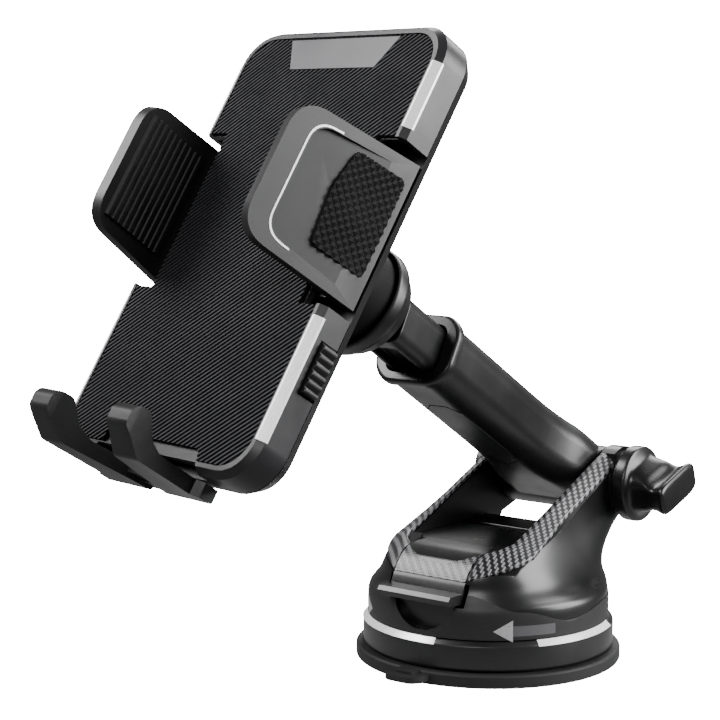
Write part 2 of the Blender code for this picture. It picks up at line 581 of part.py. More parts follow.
# ------------------------------------------------------------------ ball joint
def build_liner(mat, parent):
    """Thin spherical liner between ball and socket; origin at the ball centre."""
    angles = [math.degrees(math.asin(LINER_HALF / LINER_R)) * k / 3 for k in range(-3, 4)]
    inner = [(LINER_R * math.cos(math.radians(a)), LINER_R * math.sin(math.radians(a))) for a in angles]
    outer = [((LINER_R + LINER_T) * math.cos(math.radians(a)), (LINER_R + LINER_T) * math.sin(math.radians(a)))
             for a in reversed(angles)]
    return finish("socket_liner", lathe(inner + outer, 28), mat, parent, smooth=False)


def build_collet(mat, parent):
    """Split socket that the nut squeezes on the ball."""
    low, high = SOCKET_W[0] - BALL_W, SOCKET_W[1] - BALL_W
    edge = math.degrees(math.asin(low / SOCKET_R))
    arc = [(SOCKET_R * math.cos(math.radians(edge + (62.0 - edge) * k / 7)),
            SOCKET_R * math.sin(math.radians(edge + (62.0 - edge) * k / 7))) for k in range(8)]
    profile = arc + [(arc[-1][0], FLANGE_W[1] - BALL_W), (FLANGE_R, FLANGE_W[1] - BALL_W),
                     (FLANGE_R, FLANGE_W[0] - BALL_W), (SOCKET_OUT, high), (SOCKET_OUT, low)]
    collet = finish("collet", lathe(profile, 32), mat, parent)
    half = SOCKET_SLOT / 2
    cut(collet, box((-20.0, 20.0), (-half, half), (low - 2.0, 5.0)), name="slot_a")
    return cut(collet, box((-half, half), (-20.0, 20.0), (low - 2.0, 5.0)), name="slot_b")


def build_nut(mat, parent):
    """Flared lock nut around the socket."""
    return finish("lock_nut", lathe([(r, w - BALL_W) for r, w in NUT_PROFILE], 32), mat, parent)


# ------------------------------------------------------------------ cradle
def build_frame(mat, parent):
    """Front frame of the cradle: walls, chamfered rim and thin front skin."""
    stations = ((0.0, FACE_CHAMFER), (-FACE_CHAMFER, 0.0), (FRAME_BACK, 0.0))
    rings = [[(x, y, w) for x, y in rounded(HALF_W - d, HALF_H - d, CORNER_R - d)] for w, d in stations]
    frame = finish("front_frame", loft(rings), mat, parent)
    wall = rounded(HALF_W - WALL, HALF_H - WALL, CORNER_R - WALL)
    cut(frame, prism(wall, FRAME_BACK - 1.0, -FRONT_SKIN, along_z), name="cavity")
    cut(frame, prism(rounded(PAD_HALF[0] + PAD_INSET, PAD_HALF[1] + PAD_INSET, 8.4), -PAD_DEEP, 1.0, along_z),
        name="pad_recess")
    for k, place in enumerate(COVER_SCREWS):
        cut(frame, rod_bm(2.6, FRAME_BACK + 0.1, 0.5 - FRONT_SKIN, 20, place), "UNION", "post_%d" % k)
        cut(frame, rod_bm(SCREW_R + RUN, FRAME_BACK - 1.0, -5.5, 16, place), name="pilot_%d" % k)
    for sign in (-1, 1):
        slot = box(sorted((sign * SLOT_IN, sign * 45.0)), SLOT_V, (FRAME_BACK - 1.0, 2.0))
        cut(frame, slot, name="jaw_slot_%d" % (sign + 1))
        well = box(sorted((sign * 33.0, sign * 45.0)), (BUTTON_V[0] - GAP, BUTTON_V[1] + GAP),
                   (FRAME_BACK - 1.0, BUTTON_W[1] + GAP))
        cut(frame, well, name="button_well_%d" % (sign + 1))
        for k, (low, high) in enumerate(BRIGHT_V):
            cut(frame, prism(bright_outline(sign, 0.05), low - 0.05, high + 0.05, along_y), name="rail_%d_%d"
                % (sign + 1, k))
    cut(frame, box((-TONGUE[0] - 0.4, TONGUE[0] + 0.4), (-62.0, -52.0), (FRAME_BACK - 1.0, TONGUE[3] + 0.5)),
        name="tongue_slot")
    cut(frame, prism(((-21.5, -62.0), (21.5, -62.0), (19.0, -55.9), (-19.0, -55.9)), -4.4, 2.0, along_z),
        name="foot_notch")
    return frame


def bright_outline(sign, grow=0.0):
    """Section of a bright rail on the face chamfer, in u and w."""
    side, low = HALF_W + 0.1 + grow, -FACE_CHAMFER - 0.25 - grow
    pts = ((side, low), (HALF_W - FACE_CHAMFER, 0.1 + grow), (HALF_W - FACE_CHAMFER - 0.35, 0.1 + grow),
           (HALF_W - FACE_CHAMFER - 0.35 - grow, -0.5 - grow), (side - 0.9 - grow, low))
    return [(sign * u, w) for u, w in pts]


def build_rails(mat, parent):
    """Four bright rails on the long chamfers."""
    for side, sign in (("left", -1), ("right", 1)):
        for part, (low, high) in zip(("upper", "lower"), BRIGHT_V):
            finish("rail_%s_%s" % (side, part), prism(bright_outline(sign), low, high, along_y), mat, parent)


def notch_outline(grow=0.0):
    """Trapezoid of the plate at the top of the face."""
    return ((-NOTCH_LOW - grow, NOTCH_V[0] - grow), (NOTCH_LOW + grow, NOTCH_V[0] - grow),
            (NOTCH_TOP + grow, NOTCH_V[1] + grow), (-NOTCH_TOP - grow, NOTCH_V[1] + grow))


def build_face_pad(mat, parent):
    """Rubber face pad with cut-outs for the plate and the jaws."""
    pad = finish("face_pad", prism(rounded(*PAD_HALF, 8.2), 0.05 - PAD_DEEP, -0.1, along_z), mat, parent)
    cut(pad, prism(notch_outline(0.15), -3.0, 2.0, along_z), name="plate_gap")
    cut(pad, prism(((-20.5, -60.0), (20.5, -60.0), (17.5, -52.6), (-17.5, -52.6)), -3.0, 2.0, along_z),
        name="foot_gap")
    for sign in (-1, 1):
        cut(pad, box(sorted((sign * (SLOT_IN - 0.6), sign * 45.0)), (SLOT_V[0] - 0.4, SLOT_V[1] + 0.4), (-3.0, 2.0)),
            name="jaw_gap_%d" % (sign + 1))
    return pad


def build_notch_plate(mat, parent):
    """Plain plate at the top of the face."""
    return finish("notch_plate", prism(notch_outline(), 0.05 - PAD_DEEP, -0.05, along_z), mat, parent)


def build_cover(mat, parent):
    """Rear cover with the round boss for the socket."""
    rings = [[(x, y, w) for x, y in rounded(HALF_W - d, HALF_H - d, CORNER_R - d)]
             for w, d in ((COVER_W[1], 0.0), (COVER_W[0], COVER_INSET))]
    cover = finish("rear_cover", loft(rings), mat, parent)
    cut(cover, rod_bm(BOSS_R, BOSS_W, COVER_W[0] + 1.0, 48, (0.0, BALL_V)), "UNION", "boss")
    for k, (u, v) in enumerate(COVER_SCREWS):
        cut(cover, rod_bm(SCREW_R + 0.1, -14.0, -8.0, 16, (u, v)), name="hole_%d" % k)
        cut(cover, rod_bm(SCREW_HEAD_R + 0.2, -14.0, COVER_W[0] + 1.3, 20, (u, v)), name="sink_%d" % k)
    return cover


def build_cover_screws(mat, parent):
    """Screws that close the cradle from behind."""
    profile = ((0, -12.25), (1.7, -12.25), (SCREW_HEAD_R, -11.8), (SCREW_HEAD_R, -11.05), (SCREW_R, -11.05),
               (SCREW_R, -6.0), (0, -6.0))
    for k, place in enumerate(COVER_SCREWS):
        finish("cover_screw_%d" % (k + 1), spun(profile, 14, place), mat, parent)


def build_chassis(mat, parent):
    """Inner spine with the gear's axle on its arm."""
    spine = finish("inner_chassis", box((-25.0, 25.0), SPINE_V, (-8.6, -3.1)), mat, parent)
    cut(spine, box((-2.6, 2.6), (SPINE_V[1] - 1.0, JAW_V + 2.6), (-4.2, -3.1)), "UNION", "arm")
    return cut(spine, rod_bm(AXLE_R, -8.6, -3.5, 24, (0.0, JAW_V)), "UNION", "axle")


def jaw_point(sign):
    """Return a map from jaw coordinates (v, along, inward) to the cradle."""
    lean = math.radians(JAW_LEAN)

    def place(v, along, inward):
        u = JAW_ROOT[0] - along * math.sin(lean) - inward * math.cos(lean)
        w = JAW_ROOT[1] + along * math.cos(lean) - inward * math.sin(lean)
        return (sign * u, JAW_V + v, w)
    return place


def build_jaw(name, sign, mat, parent):
    """Leaning jaw plate with a framed recess and its carrier inside the housing."""
    place = jaw_point(sign)
    rings = []
    for inward, shrink in ((0.0, 0.5), (0.5, 0.0), (JAW_T - 0.5, 0.0), (JAW_T, 0.5)):
        rings.append([place(v * (1 - shrink / 18.0), min(t, 33.4 - shrink), inward) for v, t in JAW_OUTLINE])
    jaw = finish(name, loft(rings), mat, parent)
    panel = loft([[place(v, t, -3.0) for v, t in JAW_RECESS],
                  [place(v, t, 0.05 + 0.75 * (t - 5.0) / 21.4) for v, t in JAW_RECESS]])
    cut(jaw, panel, name="recess")
    cut(jaw, prism(GRIP_OUTLINE, -3.0, 0.95, place), name="grip_pocket")
    low, high = sorted((sign * CARRIER_U[0], sign * CARRIER_U[1]))
    cut(jaw, box((low, high), (JAW_V - 18.0, JAW_V + 18.0), CARRIER_W), "UNION", "carrier")
    return jaw


def build_grip(name, sign, mat, parent):
    """Studded grip patch on the jaw's outer face."""
    centre_v = sum(v for v, _ in GRIP_OUTLINE) / len(GRIP_OUTLINE)
    centre_t = sum(t for _, t in GRIP_OUTLINE) / len(GRIP_OUTLINE)
    inset = [(centre_v + (v - centre_v) * 0.985, centre_t + (t - centre_t) * 0.985) for v, t in GRIP_OUTLINE]
    return finish(name, prism(inset, -GRIP_T + 0.5, 0.9, jaw_point(sign)), mat, parent)


def build_jaw_pad(name, sign, mat, parent):
    """Ribbed rubber pad on the jaw's inner face."""
    place = jaw_point(sign)

    def across(along, inward, v):
        return place(v, along, inward)

    low, high = JAW_PAD_T_RANGE
    pitch = (high - low) / JAW_PAD_RIBS
    face = JAW_T + 0.05
    outline = [(low, face)]
    for k in range(JAW_PAD_RIBS):
        start = low + pitch * k
        outline += [(start + 0.2 * pitch, face + JAW_PAD_T), (start + 0.7 * pitch, face + JAW_PAD_T),
                    (start + 0.85 * pitch, face + 0.35 * JAW_PAD_T)]
    outline.append((high, face))
    return finish(name, prism(outline, -JAW_PAD_HALF, JAW_PAD_HALF, across), mat, parent)


def gear_outline():
    """Outline of the pinion, centred on the origin."""
    pts = []
    for k in range(PINION_TEETH):
        mid = 360.0 * (k + 0.5) / PINION_TEETH
        for off, r in ((-9.0, PINION_R - 1.05), (-4.2, PINION_R + TOOTH), (4.2, PINION_R + TOOTH),
                       (9.0, PINION_R - 1.05)):
            ang = math.radians(mid + off)
            pts.append((r * math.cos(ang), r * math.sin(ang)))
    return pts


def build_pinion(mat, parent):
    """Pinion that makes both jaws move together."""
    pinion = finish("pinion", prism(gear_outline(), RACK_W[0] + 0.1, RACK_W[1] - 0.1, along_z), mat, parent)
    return cut(pinion, rod_bm(AXLE_R + RUN, -12.0, 0.0, 24), name="bore")


def rack_outline(sign):
    """Rack for the jaw on the given side; its teeth face the pinion."""
    pitch = math.tau * PINION_R / PINION_TEETH
    side = -sign
    base = PINION_R + 1.0
    pts = []
    k = math.ceil(RACK_END / pitch)
    while k * pitch < 13.0:
        mid = k * pitch
        pts += [(mid - 0.95, base), (mid - 0.3, PINION_R - 0.65), (mid + 0.3, PINION_R - 0.65), (mid + 0.95, base)]
        k += 1
    pts = [(RACK_END - 1.2, base)] + pts + [(CARRIER_U[0] - 0.05, base), (CARRIER_U[0] - 0.05, RACK_BACK),
                                            (RACK_END - 1.2, RACK_BACK)]
    return [(sign * u, JAW_V + side * v) for u, v in pts]


def build_rack(name, sign, mat, parent):
    """Toothed rack fixed to one jaw's carrier."""
    return finish(name, prism(rack_outline(sign), RACK_W[0], RACK_W[1], along_z), mat, parent)


def build_button(name, sign, mat, parent):
    """Ribbed release button in the side wall."""
    def place(v, u, w):
        return (sign * u, v, w)

    low, high = BUTTON_V
    pitch = (high - low) / BUTTON_RIBS
    outline = [(low, 31.0), (low, BUTTON_OUT - 1.4)]
    for k in range(BUTTON_RIBS):
        start = low + pitch * k
        outline += [(start + 0.25 * pitch, BUTTON_OUT), (start + 0.65 * pitch, BUTTON_OUT),
                    (start + 0.8 * pitch, BUTTON_OUT - 0.8)]
    outline += [(high, BUTTON_OUT - 1.4), (high, 31.0)]
    return finish(name, prism(outline, BUTTON_W[0], BUTTON_W[1], place), mat, parent)


def build_feet(mat, parent):
    """Foot bracket: bar, tongue into the housing, two legs and their hooks."""
    low, high = FOOT_BASE_V
    bracket = finish("foot_bracket", box((-19.6, 19.6), (low + 0.8, high), (-8.6, -4.9)), mat, parent)
    cut(bracket, box((-TONGUE[0], TONGUE[0]), (high - 1.0, TONGUE[1]), TONGUE[2:]), "UNION", "tongue")
    for sign in (-1, 1):
        leg = [(sign * u, w) for u, w in ((4.0, -6.5), (13.4, -6.5), (FOOT_U + FOOT_HALF, FOOT_TIP_W - 3.0),
                                          (FOOT_U + FOOT_HALF - 1.4, FOOT_TIP_W),
                                          (FOOT_U - FOOT_HALF + 1.4, FOOT_TIP_W),
                                          (FOOT_U - FOOT_HALF, FOOT_TIP_W - 3.0))]
        cut(bracket, prism(leg, low, high - 0.4, along_y), "UNION", "leg_%d" % (sign + 1))
        hook = prism([(sign * (FOOT_U + a), v) for a, v in ((-FOOT_HALF + 0.1, low + 0.5), (FOOT_HALF - 0.1, low + 0.5),
                                                            (FOOT_HALF - 0.7, FOOT_TIP_V),
                                                            (0.7 - FOOT_HALF, FOOT_TIP_V))],
                     FOOT_TIP_W - 3.8, FOOT_TIP_W - 0.2, along_z)
        cut(bracket, hook, "UNION", "hook_%d" % (sign + 1))
    return cut(bracket, box((-5.5, 5.5), (low + 1.2, high - 0.4), (-5.5, -1.4)), "UNION", "rib_block")


def build_base(mats):
    """Build everything that stays with the base."""
    build_pad(mats["gel"])
    build_cup(mats["rubber"])
    build_backing(mats["inner"])
    build_ring(mats["satin"])
    build_ring_trims(mats["bright"])
    build_shell(mats["gloss"])
    build_bands(mats["weave"])
    build_deck(mats["gloss"])
    build_floor(mats["inner"])
    build_base_screws(mats["steel"])
    build_spring(mats["steel"])
    build_stem(mats["inner"])
    build_stem_pin(mats["steel"])
    build_lever(mats["gloss"])
    build_lever_band(mats["weave"])
    build_lever_pin(mats["steel"])


def build_arm(mats):
    """Build the pivot hardware, the telescopic arm and the ball stud."""
    build_bolt(mats["satin"])
    build_washers(mats["rubber"])
    knob = frame_empty("knob_axis", (KNOB_X, PIVOT_Y, PIVOT_Z))
    build_knob(mats["gloss"], knob)
    build_insert(mats["brass"], knob)
    ang = math.radians(ARM_DEG)
    columns = ((1, 0, 0), (0, math.sin(ang), math.cos(ang)), (0, -math.cos(ang), math.sin(ang)))
    arm = frame_empty("arm_axis", (0.0, PIVOT_Y, PIVOT_Z), columns)
    build_sleeve(mats["satin"], arm)
    build_inlay(mats["grey"], arm)
    build_bezel(mats["satin"], arm)
    build_rod(mats["satin"], arm)
    build_shoe(mats["inner"], arm)
    build_ball(mats["satin"], arm)


def build_cradle(mats):
    """Build the ball joint's socket parts and the whole cradle."""
    ang = math.radians(ARM_DEG)
    ball = Vector((0.0, PIVOT_Y - BALL_S * math.cos(ang), PIVOT_Z + BALL_S * math.sin(ang)))
    u = AXIS_U.normalized()
    w = u.cross(AXIS_V).normalized()
    v = w.cross(u)
    columns = (u, v, w)
    socket = frame_empty("ball_centre", ball, columns)
    build_liner(mats["inner"], socket)
    build_collet(mats["satin"], socket)
    build_nut(mats["satin"], socket)
    cradle = frame_empty("cradle_axes", ball - v * BALL_V - w * BALL_W, columns)
    build_frame(mats["satin"], cradle)
    build_rails(mats["bright"], cradle)
    build_face_pad(mats["rubber"], cradle)
    build_notch_plate(mats["grey"], cradle)
    build_cover(mats["satin"], cradle)
    build_cover_screws(mats["steel"], cradle)
    build_chassis(mats["inner"], cradle)
    gear = frame_empty("pinion_axis", ball + v * (JAW_V - BALL_V) - w * BALL_W, columns)
    build_pinion(mats["inner"], gear)
    for side, sign in (("left", -1), ("right", 1)):
        build_jaw("jaw_" + side, sign, mats["grey"], cradle)
        build_grip("grip_" + side, sign, mats["rubber"], cradle)
        build_jaw_pad("jaw_pad_" + side, sign, mats["rubber"], cradle)
        build_rack("rack_" + side, sign, mats["inner"], cradle)
        build_button("button_" + side, sign, mats["satin"], cradle)
    build_feet(mats["satin"], cradle)


def palette():
    """Return the materials by short name."""
    return {
        "gel": material("gel", (0.05, 0.05, 0.055), 0.3),
        "rubber": material("rubber", (0.02, 0.02, 0.022), 0.8),
        "inner": material("inner_plastic", (0.06, 0.06, 0.06), 0.6),
        "satin": material("satin_plastic", (0.035, 0.035, 0.038), 0.45),
        "gloss": material("gloss_plastic", (0.02, 0.02, 0.022), 0.15),
        "grey": material("grey_plastic", (0.12, 0.12, 0.125), 0.4),
        "weave": material("weave_film", (0.05, 0.05, 0.05), 0.35),
        "bright": material("bright_trim", (0.8, 0.8, 0.81), 0.2, 1.0),
        "steel": material("steel", (0.55, 0.55, 0.56), 0.3, 1.0),
        "brass": material("brass", (0.7, 0.5, 0.2), 0.3, 1.0),
    }


def main():
    """Clear the scene and build the mount."""
    for obj in list(bpy.data.objects):
        bpy.data.objects.remove(obj)
    mats = palette()
    build_base(mats)
    build_arm(mats)
    build_cradle(mats)


main()
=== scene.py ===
"""Car phone mount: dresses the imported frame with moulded, foiled and rubber pieces."""
from __future__ import annotations

import json
import logging
import math
from collections.abc import Callable, Iterable, Sequence
from dataclasses import dataclass, field
from enum import Enum
from typing import Any

import bmesh
import bpy
from bmesh.types import BMesh
from bpy.types import Material, Node, NodeSocket, NodeTree, Object
from mathutils import Matrix, Vector

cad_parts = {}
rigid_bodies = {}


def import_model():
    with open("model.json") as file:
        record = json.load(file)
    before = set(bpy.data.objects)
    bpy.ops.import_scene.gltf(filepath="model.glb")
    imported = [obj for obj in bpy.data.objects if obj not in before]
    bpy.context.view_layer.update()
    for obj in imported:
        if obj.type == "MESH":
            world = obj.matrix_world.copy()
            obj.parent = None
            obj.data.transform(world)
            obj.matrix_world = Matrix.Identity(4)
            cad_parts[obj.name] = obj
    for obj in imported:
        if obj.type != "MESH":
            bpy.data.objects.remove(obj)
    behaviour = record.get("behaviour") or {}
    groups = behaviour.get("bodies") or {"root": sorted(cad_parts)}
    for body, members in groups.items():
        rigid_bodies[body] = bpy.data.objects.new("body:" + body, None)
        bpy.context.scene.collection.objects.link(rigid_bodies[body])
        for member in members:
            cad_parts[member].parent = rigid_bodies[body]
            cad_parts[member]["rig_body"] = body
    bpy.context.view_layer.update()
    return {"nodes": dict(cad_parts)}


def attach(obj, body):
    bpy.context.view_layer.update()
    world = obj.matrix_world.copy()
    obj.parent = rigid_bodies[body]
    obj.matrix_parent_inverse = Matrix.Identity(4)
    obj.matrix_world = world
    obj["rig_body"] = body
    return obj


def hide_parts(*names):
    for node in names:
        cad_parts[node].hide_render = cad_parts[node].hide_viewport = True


MM = 0.001
LOG = logging.getLogger("phone_mount")

Point = tuple[float, float, float]
Place = Callable[[float, float, float], Point]


class Slot(Enum):
    """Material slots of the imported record."""

    GEL = "gel"
    RUBBER = "rubber"
    INNER = "inner_plastic"
    SATIN = "satin_plastic"
    GLOSS = "gloss_plastic"
    GREY = "grey_plastic"
    WEAVE = "weave_film"
    BRIGHT = "bright_trim"
    STEEL = "steel"
    BRASS = "brass"


class Carve(Enum):
    """How one solid acts on another."""

    TAKE = "DIFFERENCE"
    ADD = "UNION"
    KEEP = "INTERSECT"


# ---------------------------------------------------------------- finishes
def linear(code: str) -> tuple[float, float, float, float]:
    """Turn an sRGB hex value into a linear colour.

    Args:
        code: Colour such as "#1a1a1b".

    Returns:
        Linear red, green, blue and an alpha of one.
    """
    parts = [int(code[i:i + 2], 16) / 255.0 for i in (1, 3, 5)]
    red, green, blue = (c / 12.92 if c <= 0.04045 else ((c + 0.055) / 1.055) ** 2.4 for c in parts)
    return red, green, blue, 1.0


def add_node(tree: NodeTree, kind: str, settings: dict[Any, Any] | None = None,
             links: dict[Any, NodeSocket] | None = None) -> Node:
    """Add a node with its settings and links.

    Args:
        tree: Node tree that gets the node.
        kind: Node type.
        settings: Values for inputs, by name or number, or for the node's own properties.
        links: Sockets that feed the node's inputs, by input name or number.

    Returns:
        The new node.
    """
    node = tree.nodes.new(kind)
    for key, value in (settings or {}).items():
        if isinstance(key, int) or key in node.inputs:
            node.inputs[key].default_value = value
        else:
            setattr(node, key, value)
    for key, socket in (links or {}).items():
        tree.links.new(socket, node.inputs[key])
    return node


@dataclass(frozen=True)
class Finish:
    """What every finish shares: its name, its slot and the plain optical values."""

    name: str
    slot: Slot
    colour: str
    roughness: float = 0.45
    metallic: float = 0.0
    specular: float = 0.5

    def start(self) -> tuple[Material, NodeTree, Node, NodeSocket]:
        """Make the material and its shader.

        Returns:
            The material, its tree, the shader node and the object coordinates.
        """
        mat = bpy.data.materials.new(self.name)
        mat.use_nodes = True
        tree = mat.node_tree
        shader = tree.nodes["Principled BSDF"]
        shader.inputs["Base Color"].default_value = linear(self.colour)
        shader.inputs["Roughness"].default_value = self.roughness
        shader.inputs["Metallic"].default_value = self.metallic
        shader.inputs["Specular IOR Level"].default_value = self.specular
        mat.diffuse_color = linear(self.colour)
        coords = add_node(tree, "ShaderNodeTexCoord").outputs["Object"]
        return mat, tree, shader, coords

    def noise(self, tree: NodeTree, coords: NodeSocket, size_mm: float, detail: float = 3.0) -> NodeSocket:
        """Return a noise whose features are about size_mm across."""
        return add_node(tree, "ShaderNodeTexNoise", {"Scale": 1.0 / (size_mm * MM), "Detail": detail},
                        {"Vector": coords}).outputs["Fac"]

    def spread(self, tree: NodeTree, value: NodeSocket, low: float, high: float) -> NodeSocket:
        """Return a noise's middle range stretched between two values."""
        return add_node(tree, "ShaderNodeMapRange", {"From Min": 0.3, "From Max": 0.7, "To Min": low, "To Max": high},
                        {"Value": value}).outputs["Result"]

    def build(self) -> Material:
        """Make the material."""
        return self.start()[0]


@dataclass(frozen=True)
class MouldedPlastic(Finish):
    """Injection moulded ABS with a spark-eroded grain: soft highlights, and sharp edges painted lighter, partly as
    scuffing and partly as a painted highlight.
    """

    grain_mm: float = 0.22
    grain_depth_mm: float = 0.012
    patch_mm: float = 16.0
    roughness_swing: float = 0.07
    edge_scuff_highlight_colour: str = "#3a3a3c"
    edge_scuff_highlight_amount: float = 0.35

    def build(self) -> Material:
        """Make the material."""
        mat, tree, shader, coords = self.start()
        patches = self.noise(tree, coords, self.patch_mm, 4.0)
        tree.links.new(self.spread(tree, patches, self.roughness - self.roughness_swing,
                                   self.roughness + self.roughness_swing), shader.inputs["Roughness"])
        grain = self.noise(tree, coords, self.grain_mm, 2.0)
        bump = add_node(tree, "ShaderNodeBump", {"Strength": 0.5, "Distance": self.grain_depth_mm * MM},
                        {"Height": grain})
        tree.links.new(bump.outputs["Normal"], shader.inputs["Normal"])
        # Sharp edges (high pointiness) mix towards a paler colour: partly scuffing, partly a painted highlight along
        # the edges.
        geometry = add_node(tree, "ShaderNodeNewGeometry")
        edges = add_node(tree, "ShaderNodeMapRange",
                         {"From Min": 0.53, "From Max": 0.62, "To Min": 0.0, "To Max": self.edge_scuff_highlight_amount},
                         {"Value": geometry.outputs["Pointiness"]}).outputs["Result"]
        edge_scuff_highlight_share = add_node(tree, "ShaderNodeMath", {"operation": "MULTIPLY"}, {0: edges, 1: patches}).outputs[0]
        mix = add_node(tree, "ShaderNodeMix", {"data_type": "RGBA", 6: linear(self.colour),
                                               7: linear(self.edge_scuff_highlight_colour)}, {0: edge_scuff_highlight_share})
        tree.links.new(mix.outputs[2], shader.inputs["Base Color"])
        return mat


@dataclass(frozen=True)
class PolishedPlastic(Finish):
    """ABS from a mirror-polished mould: clear reflections, faint handling haze and hairline scratches."""

    haze_mm: float = 22.0
    haze: float = 0.07
    scratch_mm: float = 0.12

    def build(self) -> Material:
        """Make the material."""
        mat, tree, shader, coords = self.start()
        cloud = self.noise(tree, coords, self.haze_mm, 5.0)
        tree.links.new(self.spread(tree, cloud, self.roughness, self.roughness + self.haze),
                       shader.inputs["Roughness"])
        turned = add_node(tree, "ShaderNodeMapping", {"Rotation": (0.3, 0.5, 0.7), "Scale": (1.0, 0.04, 1.0)},
                          {"Vector": coords}).outputs["Vector"]
        lines = self.noise(tree, turned, self.scratch_mm, 1.0)
        bump = add_node(tree, "ShaderNodeBump", {"Strength": 0.12, "Distance": 0.004 * MM}, {"Height": lines})
        tree.links.new(bump.outputs["Normal"], shader.inputs["Normal"])
        return mat


@dataclass(frozen=True)
class TwillFilm(Finish):
    """Woven-look film under a clear coat: two-by-two twill whose warp threads catch the light."""

    thread_mm: float = 0.66
    light_thread: str = "#77777a"
    turn: tuple[float, float, float] = (0.0, 0.0, 0.0)

    def build(self) -> Material:
        """Make the material."""
        mat, tree, shader, coords = self.start()
        count = 1.0 / (self.thread_mm * MM)
        flat = add_node(tree, "ShaderNodeMapping", {"Rotation": self.turn, "Scale": (count, count, count)},
                        {"Vector": coords}).outputs["Vector"]
        parts = add_node(tree, "ShaderNodeSeparateXYZ", links={"Vector": flat}).outputs
        across = add_node(tree, "ShaderNodeMath", {"operation": "FLOOR"}, {0: parts["X"]}).outputs[0]
        down = add_node(tree, "ShaderNodeMath", {"operation": "FLOOR"}, {0: parts["Y"]}).outputs[0]
        both = add_node(tree, "ShaderNodeMath", {"operation": "ADD"}, {0: across, 1: down}).outputs[0]
        step = add_node(tree, "ShaderNodeMath", {"operation": "FLOORED_MODULO", 1: 4.0}, {0: both}).outputs[0]
        warp = add_node(tree, "ShaderNodeMath", {"operation": "LESS_THAN", 1: 1.5}, {0: step}).outputs[0]
        hills = []
        for axis in ("X", "Y"):
            part = add_node(tree, "ShaderNodeMath", {"operation": "FRACT"}, {0: parts[axis]}).outputs[0]
            arch = add_node(tree, "ShaderNodeMath", {"operation": "MULTIPLY", 1: math.pi}, {0: part}).outputs[0]
            hills.append(add_node(tree, "ShaderNodeMath", {"operation": "SINE"}, {0: arch}).outputs[0])
        height = add_node(tree, "ShaderNodeMix", {"data_type": "FLOAT"}, {0: warp, 2: hills[1], 3: hills[0]})
        shade = add_node(tree, "ShaderNodeMath", {"operation": "MULTIPLY"}, {0: warp, 1: height.outputs[0]})
        mix = add_node(tree, "ShaderNodeMix", {"data_type": "RGBA", 6: linear(self.colour),
                                               7: linear(self.light_thread)}, {0: shade.outputs[0]})
        tree.links.new(mix.outputs[2], shader.inputs["Base Color"])
        bump = add_node(tree, "ShaderNodeBump", {"Strength": 0.7, "Distance": 0.06 * MM},
                        {"Height": height.outputs[0]})
        tree.links.new(bump.outputs["Normal"], shader.inputs["Normal"])
        shader.inputs["Coat Weight"].default_value = 0.35
        shader.inputs["Coat Roughness"].default_value = 0.25
        return mat


@dataclass(frozen=True)
class DrawnMetal(Finish):
    """Metal with fine parallel tool lines: stretched highlights, small changes in gloss."""

    line_mm: float = 0.08
    swing: float = 0.06
    stretch: tuple[float, float, float] = (1.0, 0.05, 0.05)

    def build(self) -> Material:
        """Make the material."""
        mat, tree, shader, coords = self.start()
        drawn = add_node(tree, "ShaderNodeMapping", {"Scale": self.stretch}, {"Vector": coords}).outputs["Vector"]
        lines = self.noise(tree, drawn, self.line_mm, 2.0)
        tree.links.new(self.spread(tree, lines, self.roughness - self.swing, self.roughness + self.swing),
                       shader.inputs["Roughness"])
        bump = add_node(tree, "ShaderNodeBump", {"Strength": 0.2, "Distance": 0.004 * MM}, {"Height": lines})
        tree.links.new(bump.outputs["Normal"], shader.inputs["Normal"])
        return mat


@dataclass(frozen=True)
class MouldedRubber(Finish):
    """Compression moulded rubber: dull, slightly dusty, with a pebbled surface."""

    pebble_mm: float = 0.3
    depth_mm: float = 0.03
    dust_colour: str = "#1a1a1a"
    dust: float = 0.5

    def build(self) -> Material:
        """Make the material."""
        mat, tree, shader, coords = self.start()
        pebbles = self.noise(tree, coords, self.pebble_mm, 2.0)
        bump = add_node(tree, "ShaderNodeBump", {"Strength": 0.6, "Distance": self.depth_mm * MM},
                        {"Height": pebbles})
        tree.links.new(bump.outputs["Normal"], shader.inputs["Normal"])
        cloud = self.noise(tree, coords, 9.0, 6.0)
        share = self.spread(tree, cloud, 0.0, self.dust)
        mix = add_node(tree, "ShaderNodeMix", {"data_type": "RGBA", 6: linear(self.colour),
                                               7: linear(self.dust_colour)}, {0: share})
        tree.links.new(mix.outputs[2], shader.inputs["Base Color"])
        tree.links.new(self.spread(tree, cloud, self.roughness - 0.06, self.roughness + 0.1),
                       shader.inputs["Roughness"])
        return mat


@dataclass(frozen=True)
class CrestedRubber(MouldedRubber):
    """Ribbed rubber: the crests are painted paler than the grooves between them, a painted highlight on the crests
    and painted shade in the grooves.
    """

    crest_highlight_colour: str = "#3a3a3d"
    out: Point = (-0.1655, -0.8263, 0.5383)
    level_mm: tuple[float, float] = (0.0, 1.0)

    def build(self) -> Material:
        """Make the material."""
        mat = super().build()
        tree = mat.node_tree
        shader = tree.nodes["Principled BSDF"]
        dark = shader.inputs["Base Color"].links[0].from_socket
        coords = add_node(tree, "ShaderNodeTexCoord").outputs["Object"]
        # Colour by height above the pad: the raised crests take the pale colour as a painted highlight, the low
        # grooves keep the near-black colour as painted shade.
        along = add_node(tree, "ShaderNodeVectorMath", {"operation": "DOT_PRODUCT", 1: self.out}, {0: coords})
        low, high = (x * MM for x in self.level_mm)
        share = add_node(tree, "ShaderNodeMapRange", {"From Min": low, "From Max": high},
                         {"Value": along.outputs["Value"]})
        mix = add_node(tree, "ShaderNodeMix", {"data_type": "RGBA", 7: linear(self.crest_highlight_colour)},
                       {0: share.outputs["Result"], 6: dark})
        tree.links.new(mix.outputs[2], shader.inputs["Base Color"])
        return mat


